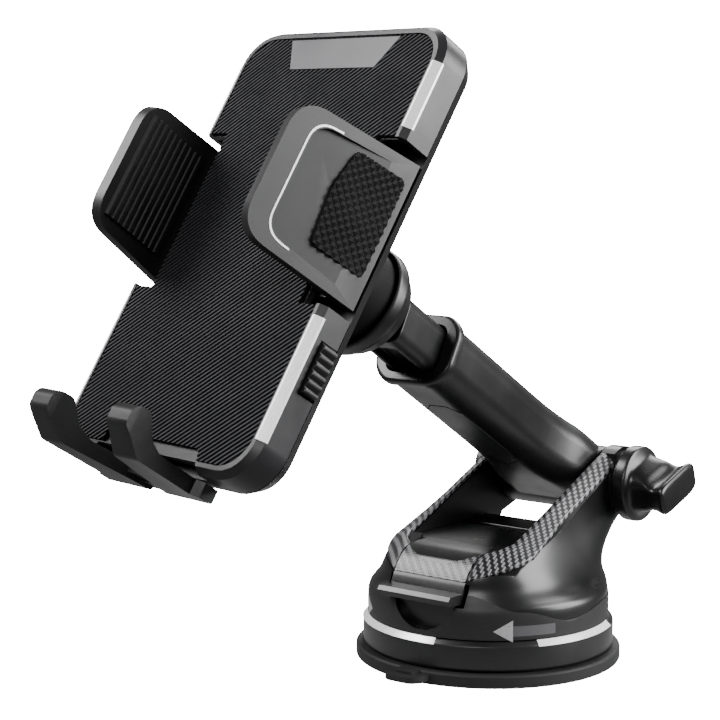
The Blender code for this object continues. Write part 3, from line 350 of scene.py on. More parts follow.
@dataclass(frozen=True)
class PrintedInk(Finish):
    """Pad printed ink: flat and chalky with pinholes where the plastic shows."""

    pinhole_mm: float = 0.25
    under_colour: str = "#222223"

    def build(self) -> Material:
        """Make the material."""
        mat, tree, shader, coords = self.start()
        spots = self.noise(tree, coords, self.pinhole_mm, 1.0)
        share = add_node(tree, "ShaderNodeMapRange", {"From Min": 0.66, "From Max": 0.74}, {"Value": spots})
        mix = add_node(tree, "ShaderNodeMix", {"data_type": "RGBA", 6: linear(self.colour),
                                               7: linear(self.under_colour)}, {0: share.outputs["Result"]})
        tree.links.new(mix.outputs[2], shader.inputs["Base Color"])
        return mat


@dataclass
class Palette:
    """Every finish of the mount, made once and shared."""

    finishes: dict[str, Finish] = field(default_factory=dict)
    made: dict[str, Material] = field(default_factory=dict)

    def __post_init__(self) -> None:
        """State the finishes."""
        for key, finish in (
            ("satin", MouldedPlastic("abs_satin_moulded", Slot.SATIN, "#0f0f10", 0.34)),
            ("rim", MouldedPlastic("abs_fine_grain_moulded", Slot.SATIN, "#1c1c1e", 0.36)),
            ("skirt", MouldedPlastic("abs_matt_moulded", Slot.GLOSS, "#101011", 0.5)),
            # Grey and pale grey plastics: their edge colours are the lit colours of their faces, painted highlights
            # along the edges.
            ("grey", MouldedPlastic("abs_grey_satin_moulded", Slot.GREY, "#151516", 0.42, edge_scuff_highlight_colour="#6a6a6e")),
            ("plate", MouldedPlastic("abs_pale_grey_moulded", Slot.GREY, "#47474a", 0.36, edge_scuff_highlight_colour="#8a8a8e")),
            ("inner", MouldedPlastic("nylon_black_moulded", Slot.INNER, "#0e0e0f", 0.55)),
            # Near black with little reflection, darker than the other black nylon: painted shade for the cavity
            # inside the lock nut, on the collet and its collar.
            ("socket", MouldedPlastic("nylon_black_painted_cavity_shade", Slot.SATIN, "#040405", 0.7, specular=0.2,
                                      edge_scuff_highlight_colour="#101011")),
            ("gloss", PolishedPlastic("abs_polished_moulded", Slot.GLOSS, "#0a0a0b", 0.27)),
            ("weave", TwillFilm("twill_film_coated", Slot.WEAVE, "#0a0a0b", 0.38, light_thread="#8c8c8f")),
            ("weave_front", TwillFilm("twill_film_coated_front", Slot.WEAVE, "#0a0a0b", 0.38,
                                      light_thread="#8c8c8f", turn=(math.radians(-48.0), 0.0, 0.0))),
            ("bright", DrawnMetal("foil_hot_stamped_bright", Slot.BRIGHT, "#ffffff", 0.28, 0.25)),
            ("steel", DrawnMetal("steel_zinc_turned", Slot.STEEL, "#b9b9bb", 0.3, 1.0)),
            ("brass", DrawnMetal("brass_turned", Slot.BRASS, "#c8a050", 0.3, 1.0)),
            ("rubber", MouldedRubber("silicone_rubber_moulded", Slot.RUBBER, "#111112", 0.62, specular=0.35)),
            ("stud", MouldedRubber("rubber_studs_moulded", Slot.RUBBER, "#161618", 0.3, specular=0.7,
                                   pebble_mm=0.2, depth_mm=0.012)),
            ("ribs", MouldedRubber("rubber_ribs_moulded", Slot.RUBBER, "#070708", 0.5, specular=0.4,
                                   pebble_mm=0.2, depth_mm=0.012)),
            # Face pad ribs: near-black grooves as painted shade, pale crests as painted highlight.
            ("crests", CrestedRubber("rubber_fine_ribs_moulded", Slot.RUBBER, "#020202", 0.6, specular=0.2,
                                     pebble_mm=0.2, depth_mm=0.01, level_mm=(140.35, 140.6), dust_colour="#060606")),
            ("gel", PolishedPlastic("polyurethane_gel_cast", Slot.GEL, "#232325", 0.25)),
            ("ink", PrintedInk("ink_pale_grey_printed", Slot.GLOSS, "#9c9c9e", 0.55)),
            ("ink_dark", PrintedInk("ink_dark_grey_printed", Slot.GLOSS, "#4a4a4c", 0.55)),
        ):
            self.finishes[key] = finish

    def get(self, key: str) -> Material:
        """Return the material of a finish, made on first use."""
        if key not in self.made:
            self.made[key] = self.finishes[key].build()
        return self.made[key]


# ---------------------------------------------------------------- shaping
def place_z(a: float, b: float, c: float) -> Point:
    """Outline in x and y, extruded along z."""
    return a, b, c


def place_x(a: float, b: float, c: float) -> Point:
    """Outline in y and z, extruded along x."""
    return c, a, b


def place_y(a: float, b: float, c: float) -> Point:
    """Outline in x and z, extruded along y."""
    return a, c, b


def slab(outline: Iterable[tuple[float, float]], low: float, high: float, place: Place = place_z) -> BMesh:
    """Extrude an outline.

    Args:
        outline: Corners of the outline.
        low: Where the extrusion starts.
        high: Where it ends.
        place: Map from outline and height to a point.

    Returns:
        A closed solid in millimetres.
    """
    bm = bmesh.new()
    face = bm.faces.new([bm.verts.new(place(a, b, low)) for a, b in outline])
    grown = bmesh.ops.extrude_face_region(bm, geom=[face])["geom"]
    shift = Vector(place(0.0, 0.0, high)) - Vector(place(0.0, 0.0, low))
    bmesh.ops.translate(bm, vec=shift, verts=[v for v in grown if isinstance(v, bmesh.types.BMVert)])
    bmesh.ops.recalc_face_normals(bm, faces=bm.faces)
    return bm


def block(x: tuple[float, float], y: tuple[float, float], z: tuple[float, float]) -> BMesh:
    """Return a box between the given limits."""
    bm = bmesh.new()
    bmesh.ops.create_cube(bm, size=1.0)
    bmesh.ops.scale(bm, vec=(x[1] - x[0], y[1] - y[0], z[1] - z[0]), verts=bm.verts)
    bmesh.ops.translate(bm, vec=((x[0] + x[1]) / 2, (y[0] + y[1]) / 2, (z[0] + z[1]) / 2), verts=bm.verts)
    return bm


def bar(radius: float, low: float, high: float, centre: tuple[float, float] = (0.0, 0.0),
        place: Place = place_z, segments: int = 64) -> BMesh:
    """Return a round bar between two heights along the placed axis."""
    bm = bmesh.new()
    bmesh.ops.create_cone(bm, cap_ends=True, segments=segments, radius1=radius, radius2=radius, depth=high - low)
    bmesh.ops.translate(bm, vec=(centre[0], centre[1], (low + high) / 2), verts=bm.verts)
    for vert in bm.verts:
        vert.co = place(*vert.co)
    bmesh.ops.recalc_face_normals(bm, faces=bm.faces)
    return bm


def turned(profile: Sequence[tuple[float, float]], steps: int = 128, start: float = 0.0,
           sweep: float = 360.0) -> BMesh:
    """Spin a section of radius and height about z.

    Args:
        profile: Section points; an open one has both ends on the axis.
        steps: Steps of the spin.
        start: Start angle in degrees.
        sweep: Angle swept, 360 for a closed shape.

    Returns:
        The turned shape in millimetres.
    """
    bm = bmesh.new()
    first, turn = math.radians(start), math.radians(sweep)
    verts = [bm.verts.new((r * math.cos(first), r * math.sin(first), z)) for r, z in profile]
    pairs = list(zip(verts, verts[1:]))
    if profile[0][0] > 1e-6:
        pairs.append((verts[-1], verts[0]))
    edges = [bm.edges.new(pair) for pair in pairs]
    full = sweep >= 360.0
    bmesh.ops.spin(bm, geom=verts + edges, cent=(0, 0, 0), axis=(0, 0, 1), angle=turn, steps=steps, use_merge=full)
    bmesh.ops.remove_doubles(bm, verts=bm.verts, dist=1e-5)
    if not full:
        bmesh.ops.holes_fill(bm, edges=[e for e in bm.edges if e.is_boundary], sides=0)
    bmesh.ops.recalc_face_normals(bm, faces=bm.faces)
    return bm


def rounded_section(points: Sequence[tuple[float, float]], radius: float, closed: bool = True,
                    steps: int = 3) -> list[tuple[float, float]]:
    """Round the corners of a section.

    Args:
        points: Corners in order.
        radius: Largest distance a corner is cut back.
        closed: Whether the section joins up.
        steps: Points for each rounded corner.

    Returns:
        The rounded section.
    """
    out: list[tuple[float, float]] = []
    count = len(points)
    for i, point in enumerate(points):
        if not closed and i in (0, count - 1):
            out.append(point)
            continue
        here = Vector(point)
        before, after = Vector(points[i - 1]) - here, Vector(points[(i + 1) % count]) - here
        cut = min(radius, before.length * 0.45, after.length * 0.45)
        one, two = here + before.normalized() * cut, here + after.normalized() * cut
        for k in range(steps + 1):
            t = k / steps
            spot = one * (1 - t) ** 2 + here * (2 * t * (1 - t)) + two * t ** 2
            out.append((spot.x, spot.y))
    return out


def eased(rows: Sequence[Sequence[float]], steps: int) -> list[list[float]]:
    """Put smooth rows between the given ones.

    Args:
        rows: Rows of numbers that the result passes through.
        steps: Rows for each gap.

    Returns:
        The finer list of rows.
    """
    out: list[list[float]] = []
    last = len(rows) - 1
    for i in range(last):
        p0, p1, p2, p3 = rows[max(i - 1, 0)], rows[i], rows[i + 1], rows[min(i + 2, last)]
        for k in range(steps):
            t = k / steps
            out.append([0.5 * (2 * b + (c - a) * t + (2 * a - 5 * b + 4 * c - d) * t * t
                               + (3 * b - a - 3 * c + d) * t ** 3) for a, b, c, d in zip(p0, p1, p2, p3)])
    out.append(list(rows[-1]))
    return out


def skinned(rings: Sequence[Sequence[Point]]) -> BMesh:
    """Bridge a stack of rings into a capped solid.

    Args:
        rings: Rings with the same number of points.

    Returns:
        The closed solid in millimetres.
    """
    bm = bmesh.new()
    count = len(rings[0])
    loops = []
    for ring in rings:
        made = bmesh.ops.create_circle(bm, cap_ends=False, segments=count, radius=1.0)["verts"]
        for vert, point in zip(made, ring):
            vert.co = point
        loops.append(made)
    for low, high in zip(loops, loops[1:]):
        edges = {e for v in (*low, *high) for e in v.link_edges
                 if all(w in low for w in e.verts) or all(w in high for w in e.verts)} if count < 8 else \
            ring_edges(low) + ring_edges(high)
        bmesh.ops.bridge_loops(bm, edges=list(edges))
    for loop in (loops[0], loops[-1]):
        bmesh.ops.contextual_create(bm, geom=ring_edges(loop))
    bmesh.ops.recalc_face_normals(bm, faces=bm.faces)
    return bm


def ring_edges(loop: Sequence[Any]) -> list[Any]:
    """Return the edges that join each vertex of a ring to the next."""
    out = []
    for one, two in zip(loop, [*loop[1:], loop[0]]):
        edge = next((e for e in one.link_edges if e.other_vert(one) is two), None)
        if edge is not None:
            out.append(edge)
    return out


def carve(solid: BMesh, tools: Iterable[BMesh], how: Carve = Carve.TAKE) -> BMesh:
    """Cut, join or keep a solid with others.

    Args:
        solid: The solid worked on.
        tools: The solids that act on it, one after another.
        how: What they do.

    Returns:
        The resulting solid; the inputs are freed.
    """
    made = []
    for bm in (solid, *tools):
        mesh = bpy.data.meshes.new("work")
        bm.to_mesh(mesh)
        bm.free()
        obj = bpy.data.objects.new("work", mesh)
        bpy.context.scene.collection.objects.link(obj)
        made.append(obj)
    for tool in made[1:]:
        mod = made[0].modifiers.new("carve", "BOOLEAN")
        mod.solver, mod.operation, mod.object = "EXACT", how.value, tool
    shown = made[0].evaluated_get(bpy.context.evaluated_depsgraph_get())
    mesh = bpy.data.meshes.new_from_object(shown)
    out = bmesh.new()
    out.from_mesh(mesh)
    bpy.data.meshes.remove(mesh)
    for obj in made:
        data = obj.data
        bpy.data.objects.remove(obj)
        bpy.data.meshes.remove(data)
    return out


def curl_copy(bm: BMesh) -> BMesh:
    """Return a copy of a shape."""
    return bm.copy()


def axes(origin: Sequence[float], right: Sequence[float], up: Sequence[float], out: Sequence[float]) -> Matrix:
    """Return the matrix of a local frame whose origin is in millimetres."""
    return Matrix.Translation(Vector(origin)) @ Matrix((right, up, out)).transposed().to_4x4()


@dataclass
class Workshop:
    """Turns finished shapes into pieces that ride on the frame."""

    nodes: dict[str, Object]
    palette: Palette

    def piece(self, name: str, bm: BMesh, finish: str, body: str, replaces: Sequence[str] = (),
              place: Matrix | None = None, edge: float = 0.0, segments: int = 2, angle: float = 32.0,
              shaded: bool = True) -> Object:
        """Make a piece.

        Args:
            name: Name of the piece.
            bm: Its shape in millimetres, freed here.
            finish: Key of its finish.
            body: Body that it rides on.
            replaces: Nodes that it stands for.
            place: Frame that the shape is in, or None for the row frame.
            edge: Width of the rounding on its sharp edges, in millimetres.
            segments: Segments of that rounding.
            angle: Angle in degrees past which an edge is sharp.
            shaded: Whether the faces between sharp edges shade smoothly.

        Returns:
            The piece.
        """
        if place is not None:
            bmesh.ops.transform(bm, matrix=place, verts=bm.verts)
        bmesh.ops.scale(bm, vec=(MM, MM, MM), verts=bm.verts)
        limit = math.radians(angle)
        for item in bm.edges:
            item.smooth = not (len(item.link_faces) == 2 and item.calc_face_angle(0.0) > limit)
        for item in bm.faces:
            item.smooth = shaded
            item.material_index = 0
        mesh = bpy.data.meshes.new(name)
        bm.to_mesh(mesh)
        bm.free()
        mesh.materials.clear()
        mesh.materials.append(self.palette.get(finish))
        obj = bpy.data.objects.new(name, mesh)
        bpy.context.scene.collection.objects.link(obj)
        if edge > 0.0:
            mod = obj.modifiers.new("edge", "BEVEL")
            mod.width, mod.segments, mod.limit_method = edge * MM, segments, "ANGLE"
            mod.angle_limit, mod.use_clamp_overlap, mod.miter_outer = limit, True, "MITER_ARC"
            obj.modifiers.new("shade", "WEIGHTED_NORMAL").keep_sharp = False
        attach(obj, body)
        if replaces:
            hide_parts(*replaces)
        LOG.info("%s: %d faces on %s", name, len(mesh.polygons), body)
        return obj

    def copy(self, node: str) -> BMesh:
        """Return a merged copy of a node's mesh in millimetres."""
        bm = bmesh.new()
        bm.from_mesh(self.nodes[node].data)
        bmesh.ops.scale(bm, vec=(1 / MM, 1 / MM, 1 / MM), verts=bm.verts)
        bmesh.ops.remove_doubles(bm, verts=bm.verts, dist=1e-4)
        bmesh.ops.dissolve_limit(bm, angle_limit=math.radians(0.4), verts=bm.verts, edges=bm.edges)
        return bm

    def dressed(self, node: str, suffix: str, finish: str, edge: float, segments: int = 2,
                angle: float = 32.0) -> Object:
        """Stand a copy of a node with rounded edges in its place.

        Args:
            node: The node copied.
            suffix: Word added to its name.
            finish: Key of the finish.
            edge: Width of the rounding in millimetres.
            segments: Segments of the rounding.
            angle: Angle past which an edge is rounded.

        Returns:
            The piece.
        """
        return self.piece(f"{node}_{suffix}", self.copy(node), finish, self.nodes[node]["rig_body"], (node,),
                          edge=edge, segments=segments, angle=angle)

    def kept(self, finish: str, *names: str) -> None:
        """Give nodes that stay a finish of their own."""
        for name in names:
            obj = self.nodes[name]
            for item in obj.material_slots:
                item.material = self.palette.get(finish)
            LOG.info("%s: kept with %s", name, finish)


# ---------------------------------------------------------------- suction base
@dataclass
class SuctionBase:
    """Pad, cup, ring, flared shell with its fork, lock lever and printed arrows."""

    shop: Workshop
    cup_r: float = 36.0
    cup_top: float = 3.8
    tab_half: float = 6.0
    tab_out: float = 41.5
    ring_r: float = 34.05
    ring_z: tuple[float, float] = (4.1, 10.7)
    ring_in: float = 29.6
    chamfer: float = 1.2
    trim_arcs: tuple[tuple[float, float], ...] = ((-62.0, 10.0), (57.0, 109.0), (160.0, 232.0))
    shell_rows: tuple[tuple[float, ...], ...] = (
        (12.2, 32.6, -32.6, 32.6, 2.0), (19.0, 32.5, -32.5, 32.5, 2.0), (21.4, 31.0, -31.2, 32.6, 2.1),
        (24.5, 27.6, -29.6, 33.0, 2.35), (28.5, 24.6, -28.0, 36.0, 2.8), (33.5, 22.4, -22.0, 41.0, 3.6),
        (40.0, 21.2, -14.0, 49.0, 5.0), (48.0, 20.7, -4.0, 50.0, 6.0), (57.0, 20.5, 6.0, 50.0, 6.0))
    crease: tuple[tuple[float, float], ...] = ((0.0, 23.6), (24.0, 23.4), (50.0, 19.4), (75.0, 16.0),
                                               (105.0, 18.2), (180.0, 18.8))
    pivot: tuple[float, float] = (37.0, 44.5)
    ear_r: float = 10.0
    fork_in: float = 16.15
    fork_out: float = 20.6
    top_slope: float = 0.418
    top_start: tuple[float, float] = (-10.5, 35.5)
    lever_half: float = 11.5
    columns: int = 128
    turn_bends: tuple[Point, ...] = ((15.9, -17.6, 33.9), (17.2, -19.3, 33.3), (21.0, -21.5, 29.6),
                                     (20.2, -20.7, 28.6), (16.8, -18.7, 32.2), (15.6, -17.1, 32.8))
    turn_ends: tuple[Point, ...] = ((12.0, -19.4, 32.9), (12.0, -22.7, 31.7), (12.0, -27.1, 27.1),
                                    (12.0, -26.2, 26.4), (12.0, -22.1, 30.7), (12.0, -19.2, 31.9))

    def build(self) -> None:
        """Build and dress the base."""
        self.cup()
        self.ring()
        self.shell()
        self.skirt()
        self.bands()
        self.arrows()
        self.lever()
        self.shop.kept("inner", "cup_backing", "floor_plate", "stem")
        self.shop.kept("steel", "stem_spring", "stem_pin", "lever_pin", "base_screw_1", "base_screw_2",
                       "base_screw_3")

    def cup(self) -> None:
        """Cup with its rolled lip and pull tab, and the gel pad under it."""
        low = 1.1
        outer = rounded_section(((9.3, low + 0.05), (34.95, low + 0.05), (35.0, 0.25), (35.7, 0.2),
                                 (self.cup_r, 0.5), (self.cup_r, self.cup_top - 0.5),
                                 (self.cup_r - 0.5, self.cup_top), (9.3, self.cup_top)), 0.25)
        cup = turned(outer, 160)
        tab = slab(rounded_section(((-self.tab_half, -33.0), (self.tab_half, -33.0), (self.tab_half, -38.6),
                                    (self.tab_half - 2.2, -self.tab_out), (2.2 - self.tab_half, -self.tab_out),
                                    (-self.tab_half, -38.6)), 1.6, steps=5), 1.3, 3.0)
        ridge = slab(rounded_section(((-3.2, -34.0), (3.2, -34.0), (3.0, -38.9), (-3.0, -38.9)), 1.2, steps=4),
                     2.5, 3.7)
        self.shop.piece("suction_cup_moulding", carve(cup, (tab, ridge), Carve.ADD), "rubber", "base",
                        ("suction_cup",), edge=0.3)
        pad = turned(((0.0, 0.0), (34.2, 0.0), (34.8, 0.45), (34.8, low), (0.0, low)), 128)
        self.shop.piece("gel_pad_casting", pad, "gel", "base", ("gel_pad",))

    def ring(self) -> None:
        """Lower ring with a grooved chamfer and three bright inlays."""
        r, (low, mid), top = self.ring_r, self.ring_z, self.ring_z[1] + self.chamfer
        section = rounded_section(((self.ring_in, low), (r - 0.3, low), (r, low + 0.6), (r, mid),
                                   (r - self.chamfer, top), (self.ring_in, top)), 0.25)
        self.shop.piece("base_ring_moulding", turned(section, 160), "satin", "base", ("base_ring",))
        bright = ((r + 0.14, mid - 0.1), (r - self.chamfer - 0.1, top + 0.14), (r - self.chamfer - 0.7, top - 0.5),
                  (r - 0.5, mid - 0.7))
        for k, (start, stop) in enumerate(self.trim_arcs):
            arc = turned(bright, 48, start - 90.0, stop - start)
            self.shop.piece(f"ring_trim_{k + 1}_foil", arc, "bright", "base", (f"ring_trim_{k + 1}",), edge=0.06)

    def shell_row(self, z: float) -> tuple[float, float, float, float]:
        """Return half width, front, rear and squareness of the shell at a height."""
        rows = self._rows
        for one, two in zip(rows, rows[1:]):
            if z <= two[0]:
                t = (z - one[0]) / (two[0] - one[0])
                mixed = [a + (b - a) * t for a, b in zip(one, two)]
                return mixed[1], mixed[2], mixed[3], mixed[4]
        return rows[-1][1], rows[-1][2], rows[-1][3], rows[-1][4]

    @property
    def _rows(self) -> list[list[float]]:
        """The shell's sections, made finer."""
        return eased(self.shell_rows, 5)

    def shell_point(self, angle: float, z: float, proud: float = 0.0) -> Point:
        """Return a point of the shell's surface at an angle and a height."""
        half, front, rear, power = self.shell_row(z)
        c, s = math.cos(angle), math.sin(angle)
        x = (half + proud) * math.copysign(abs(c) ** (2 / power), c)
        y = (front + rear) / 2 + ((rear - front) / 2 + proud) * math.copysign(abs(s) ** (2 / power), s)
        return x, y, z

    def top_line(self, y: float) -> float:
        """Return the height of the fork's top edge."""
        return self.top_start[1] + self.top_slope * (y - self.top_start[0])

    def side_view(self) -> list[tuple[float, float]]:
        """Return the outline of shell and fork seen from the side."""
        py, pz = self.pivot
        ear = [(py + self.ear_r * math.cos(math.radians(a)), pz + self.ear_r * math.sin(math.radians(a)))
               for a in range(112, -64, -6)]
        front = [(-33.0, 12.2), (-33.0, 23.0), (-28.6, 24.4), (-26.2, 28.2), (-23.6, 30.9), (-20.4, 31.9),
                 (-12.0, self.top_line(-12.0))]
        return front + ear + [(31.0, 32.6), (29.3, 30.2), (28.9, 28.0), (29.6, 25.4), (31.2, 23.2), (33.0, 21.6),
                              (33.0, 12.2)]

    def shell(self) -> None:
        """Glossy shell: flared loft cut to the side view, with bosses, slot, bays and bores."""
        rings = [[self.shell_point(math.tau * k / self.columns, row[0]) for k in range(self.columns)]
                 for row in self._rows]
        body = carve(skinned(rings), (slab(self.side_view(), -45.0, 45.0, place_x),), Carve.KEEP)
        body = carve(body, (bar(self.ear_r - 1.0, -22.3, 22.3, self.pivot, place_x),), Carve.ADD)
        front = self.lever_half + 0.3
        tools = [bar(29.2, 10.0, 19.0), block((-self.fork_in, self.fork_in), (-14.0, 60.0), (24.6, 70.0)),
                 block((-front, front), (-45.0, -12.0), (23.9, 45.0)),
                 block((-front - 0.8, front + 0.8), (-45.0, -24.6), (20.3, 26.0)),
                 bar(9.5, -36.0, -29.9, (1.0, 23.0), place_y), block((-5.6, 5.6), (-4.5, 10.5), (16.0, 26.0)),
                 bar(1.6, -18.9, 18.9, (9.0, 29.5), place_x), bar(3.06, -30.0, 30.0, self.pivot, place_x),
                 self.band(-1, True), self.band(1, True)]
        self.shop.piece("base_shell_moulding", carve(body, tools), "gloss", "base", ("base_shell",), edge=0.35,
                        segments=2, angle=38.0)

    def crease_at(self, phi: float) -> float:
        """Return the height of the crease at an angle from the lever, in degrees."""
        size = abs((phi + 180.0) % 360.0 - 180.0)
        for one, two in zip(self.crease, self.crease[1:]):
            if size <= two[0]:
                t = (size - one[0]) / (two[0] - one[0])
                return one[1] + (two[1] - one[1]) * (3 * t * t - 2 * t ** 3)
        return self.crease[-1][1]

    def wrap(self, columns: int, rows: int, spot: Callable[[float, float], tuple[float, float]],
             proud: float) -> BMesh:
        """Lay a grid on the shell.

        Args:
            columns: Steps round the base.
            rows: Steps in height.
            spot: Map from shares of the grid to degrees from the lever and height.
            proud: Height above the shell.

        Returns:
            The open sheet in millimetres.
        """
        bm = bmesh.new()
        bmesh.ops.create_grid(bm, x_segments=columns, y_segments=rows, size=0.5)
        for vert in bm.verts:
            phi, z = spot(vert.co.x + 0.5, vert.co.y + 0.5)
            vert.co = self.shell_point(math.radians(phi - 90.0), z, proud)
        bmesh.ops.remove_doubles(bm, verts=bm.verts, dist=1e-4)
        bmesh.ops.recalc_face_normals(bm, faces=bm.faces)
        return bm

    def skirt(self) -> None:
        """Matt skirt over the foot of the flare, its top following the crease."""
        sheet = self.wrap(160, 10, lambda a, b: (360.0 * a, 12.2 + (self.crease_at(360.0 * a) - 12.2) * b), 0.2)
        bmesh.ops.solidify(sheet, geom=sheet.faces[:], thickness=1.2)
        bmesh.ops.recalc_face_normals(sheet, faces=sheet.faces)
        front = self.lever_half + 1.1
        tools = [block((-front, front), (-45.0, -20.0), (20.3, 26.0)), bar(9.5, -38.0, -28.6, (1.0, 23.0), place_y)]
        self.shop.piece("base_skirt_moulding", carve(sheet, tools), "skirt", "base", edge=0.12, segments=2,
                        angle=50.0)

    def band(self, side: int, seat: bool = False) -> BMesh:
        """Return the sloped band on one ear, or the cutter of its seat.

        Args:
            side: -1 for the left ear, 1 for the right.
            seat: Whether to return the cutter.

        Returns:
            The solid in millimetres.
        """
        thick, drop, front, rear = 1.1, 2.6, -12.0, 31.5
        rings = []
        for k in range(21):
            y = front + (rear - front) * k / 20
            z = self.top_line(y)
            inner = 12.2 + (self.fork_in - 12.0) * min(1.0, max(0.0, (y + 20.5) / 8.0))
            outer = self.fork_out + 0.1 + 2.7 * max(0.0, (6.0 - y) / 26.0)
            low = z - thick
            rings.append([(side * a, y, b) for a, b in ((inner, z), (inner + 1.6, z), (outer, z - drop),
                                                        (outer, low - drop), (inner + 1.6, low), (inner, low))])
        start = [Vector(p) for p in rings[0]]
        bends = [Vector((side * x, y, z)) for x, y, z in self.turn_bends]
        ends = [Vector((side * x, y, z)) for x, y, z in self.turn_ends]
        for k in range(1, 13):
            t = k / 12
            rings.insert(0, [tuple(a * (1 - t) ** 2 + b * (2 * t * (1 - t)) + c * t * t)
                             for a, b, c in zip(start, bends, ends)])
        return skinned([self.seat_ring(ring, side) for ring in rings] if seat else rings)

    def seat_ring(self, ring: Sequence[Point], side: int) -> list[Point]:
        """Return the cutter's ring for a ring of the band: everything over it, and a little under."""
        drop, reach, lift = Vector((0.0, 0.0, 0.15)), 1.6, Vector((0.0, 0.0, 12.0))
        low = [Vector(p) - drop for p in ring[3:]]
        far = low[0] + (low[0] - low[1]).normalized() * reach
        inner = low[2] - Vector((side * 0.3, 0.0, 0.0))
        return [tuple(p) for p in (inner + lift, far + lift, far, low[0], low[1], inner)]

    def lever_film(self) -> BMesh:
        """Return the band across the lever's rolled front, its upper edge a shallow arc."""
        path = eased(((-17.0, 32.9), (-20.4, 32.5), (-23.6, 30.9), (-26.2, 28.2), (-28.0, 25.4)), 10)
        last = len(path) - 1
        bm = bmesh.new()
        bmesh.ops.create_grid(bm, x_segments=28, y_segments=14, size=0.5)
        half = self.lever_half - 0.12
        for vert in bm.verts:
            across, down = 2 * vert.co.x, vert.co.y + 0.5
            first = 0.62 - 0.34 * across ** 2
            spot = (first + (0.88 - first) * down) * last
            i = min(int(spot), last - 1)
            one, two = Vector(path[i]), Vector(path[i + 1])
            out = Vector((-(two - one).y, (two - one).x)).normalized()
            here = one + (two - one) * (spot - i) - out * (0.12 if out.y < 0 else -0.12)
            vert.co = (half * across, here.x, here.y)
        bmesh.ops.recalc_face_normals(bm, faces=bm.faces)
        if sum(f.normal.z for f in bm.faces) < 0:
            bmesh.ops.reverse_faces(bm, faces=bm.faces)
        bmesh.ops.solidify(bm, geom=bm.faces[:], thickness=0.5)
        bmesh.ops.recalc_face_normals(bm, faces=bm.faces)
        return bm

    def bands(self) -> None:
        """Woven-look bands that run down both ears."""
        for word, side in (("left", -1), ("right", 1)):
            self.shop.piece(f"carbon_band_{word}_film", self.band(side), "weave", "base", (f"carbon_band_{word}",),
                            edge=0.25, angle=25.0)

    def arrows(self) -> None:
        """Printed arrows that point at the lever from both sides."""
        middle, half, wide = 14.6, 1.35, 2.9
        for word, side in (("right", 1.0), ("left", -1.0)):
            head = self.wrap(10, 4, lambda a, b: (side * (36.6 + 9.0 * a), middle + wide * a * (2 * b - 1)), 0.23)
            tail = self.wrap(20, 2, lambda a, b: (side * (45.6 + 20.8 * a), middle + half * (2 * b - 1)), 0.23)
            for part, sheet, ink in (("head", head, "ink"), ("tail", tail, "ink_dark")):
                bmesh.ops.solidify(sheet, geom=sheet.faces[:], thickness=0.1)
                bmesh.ops.recalc_face_normals(sheet, faces=sheet.faces)
                self.shop.piece(f"arrow_{part}_{word}_print", sheet, ink, "base")

    def lever(self) -> None:
        """Lock lever, its band and the fixed deck behind it."""
        self.shop.dressed("lock_lever", "moulding", "gloss", 0.45, 3)
        self.shop.piece("lever_band_film", self.lever_film(), "weave_front", "lever", ("lever_band",), angle=50.0)
        self.shop.dressed("deck_cover", "moulding", "gloss", 0.3)


# ---------------------------------------------------------------- pivot
@dataclass
class Pivot:
    """Bolt, washers and the wing knob."""

    shop: Workshop
    centre: tuple[float, float, float] = (22.6, 37.0, 44.5)
    tilt: float = 18.0
    rows: tuple[tuple[float, ...], ...] = (
        (0.0, 9.9, 9.9, 2.0), (0.35, 10.4, 10.4, 2.0), (0.9, 10.5, 10.5, 2.0), (3.2, 10.5, 10.5, 2.0),
        (3.8, 10.1, 10.1, 2.0), (4.3, 9.0, 8.6, 2.2), (5.2, 8.5, 7.2, 2.6), (6.8, 8.2, 6.2, 3.2),
        (8.6, 8.0, 5.3, 4.0), (10.2, 8.1, 4.3, 5.0), (12.2, 8.6, 4.1, 5.0), (14.0, 9.3, 4.4, 5.0),
        (14.9, 9.5, 4.4, 5.0), (15.4, 9.2, 4.0, 5.0), (15.6, 8.6, 3.3, 5.0))
    scoop: float = 1.5
    scoop_at: tuple[float, float] = (11.7, 1.9)

    def build(self) -> None:
        """Build and dress the pivot's hardware."""
        rings = []
        for x, a, b, power in eased(self.rows, 3):
            rings.append([(x, a * math.copysign(abs(math.cos(t)) ** (2 / power), math.cos(t)),
                           b * math.copysign(abs(math.sin(t)) ** (2 / power), math.sin(t)))
                          for t in (math.tau * k / 96 for k in range(96))])
        knob = skinned(rings)
        for vert in knob.verts:
            dip = math.exp(-((vert.co.x - self.scoop_at[0]) / self.scoop_at[1]) ** 2)
            if vert.co.z > 0:
                vert.co.z -= self.scoop * dip * (1 - (vert.co.y / 10.0) ** 2)
        bmesh.ops.rotate(knob, verts=knob.verts, cent=(0, 0, 0), matrix=Matrix.Rotation(math.radians(self.tilt), 3, "X"))
        bmesh.ops.translate(knob, vec=self.centre, verts=knob.verts)
        pocket = bar(5.1, self.centre[0] - 1.0, self.centre[0] + 7.6, self.centre[1:], place_x, 48)
        self.shop.piece("wing_knob_moulding", carve(knob, (pocket,)), "gloss", "knob", ("wing_knob",), angle=60.0)
        self.shop.kept("brass", "knob_insert")
        self.shop.kept("rubber", "washer_left", "washer_right")
        self.shop.dressed("pivot_bolt", "cap", "satin", 0.4, 3)


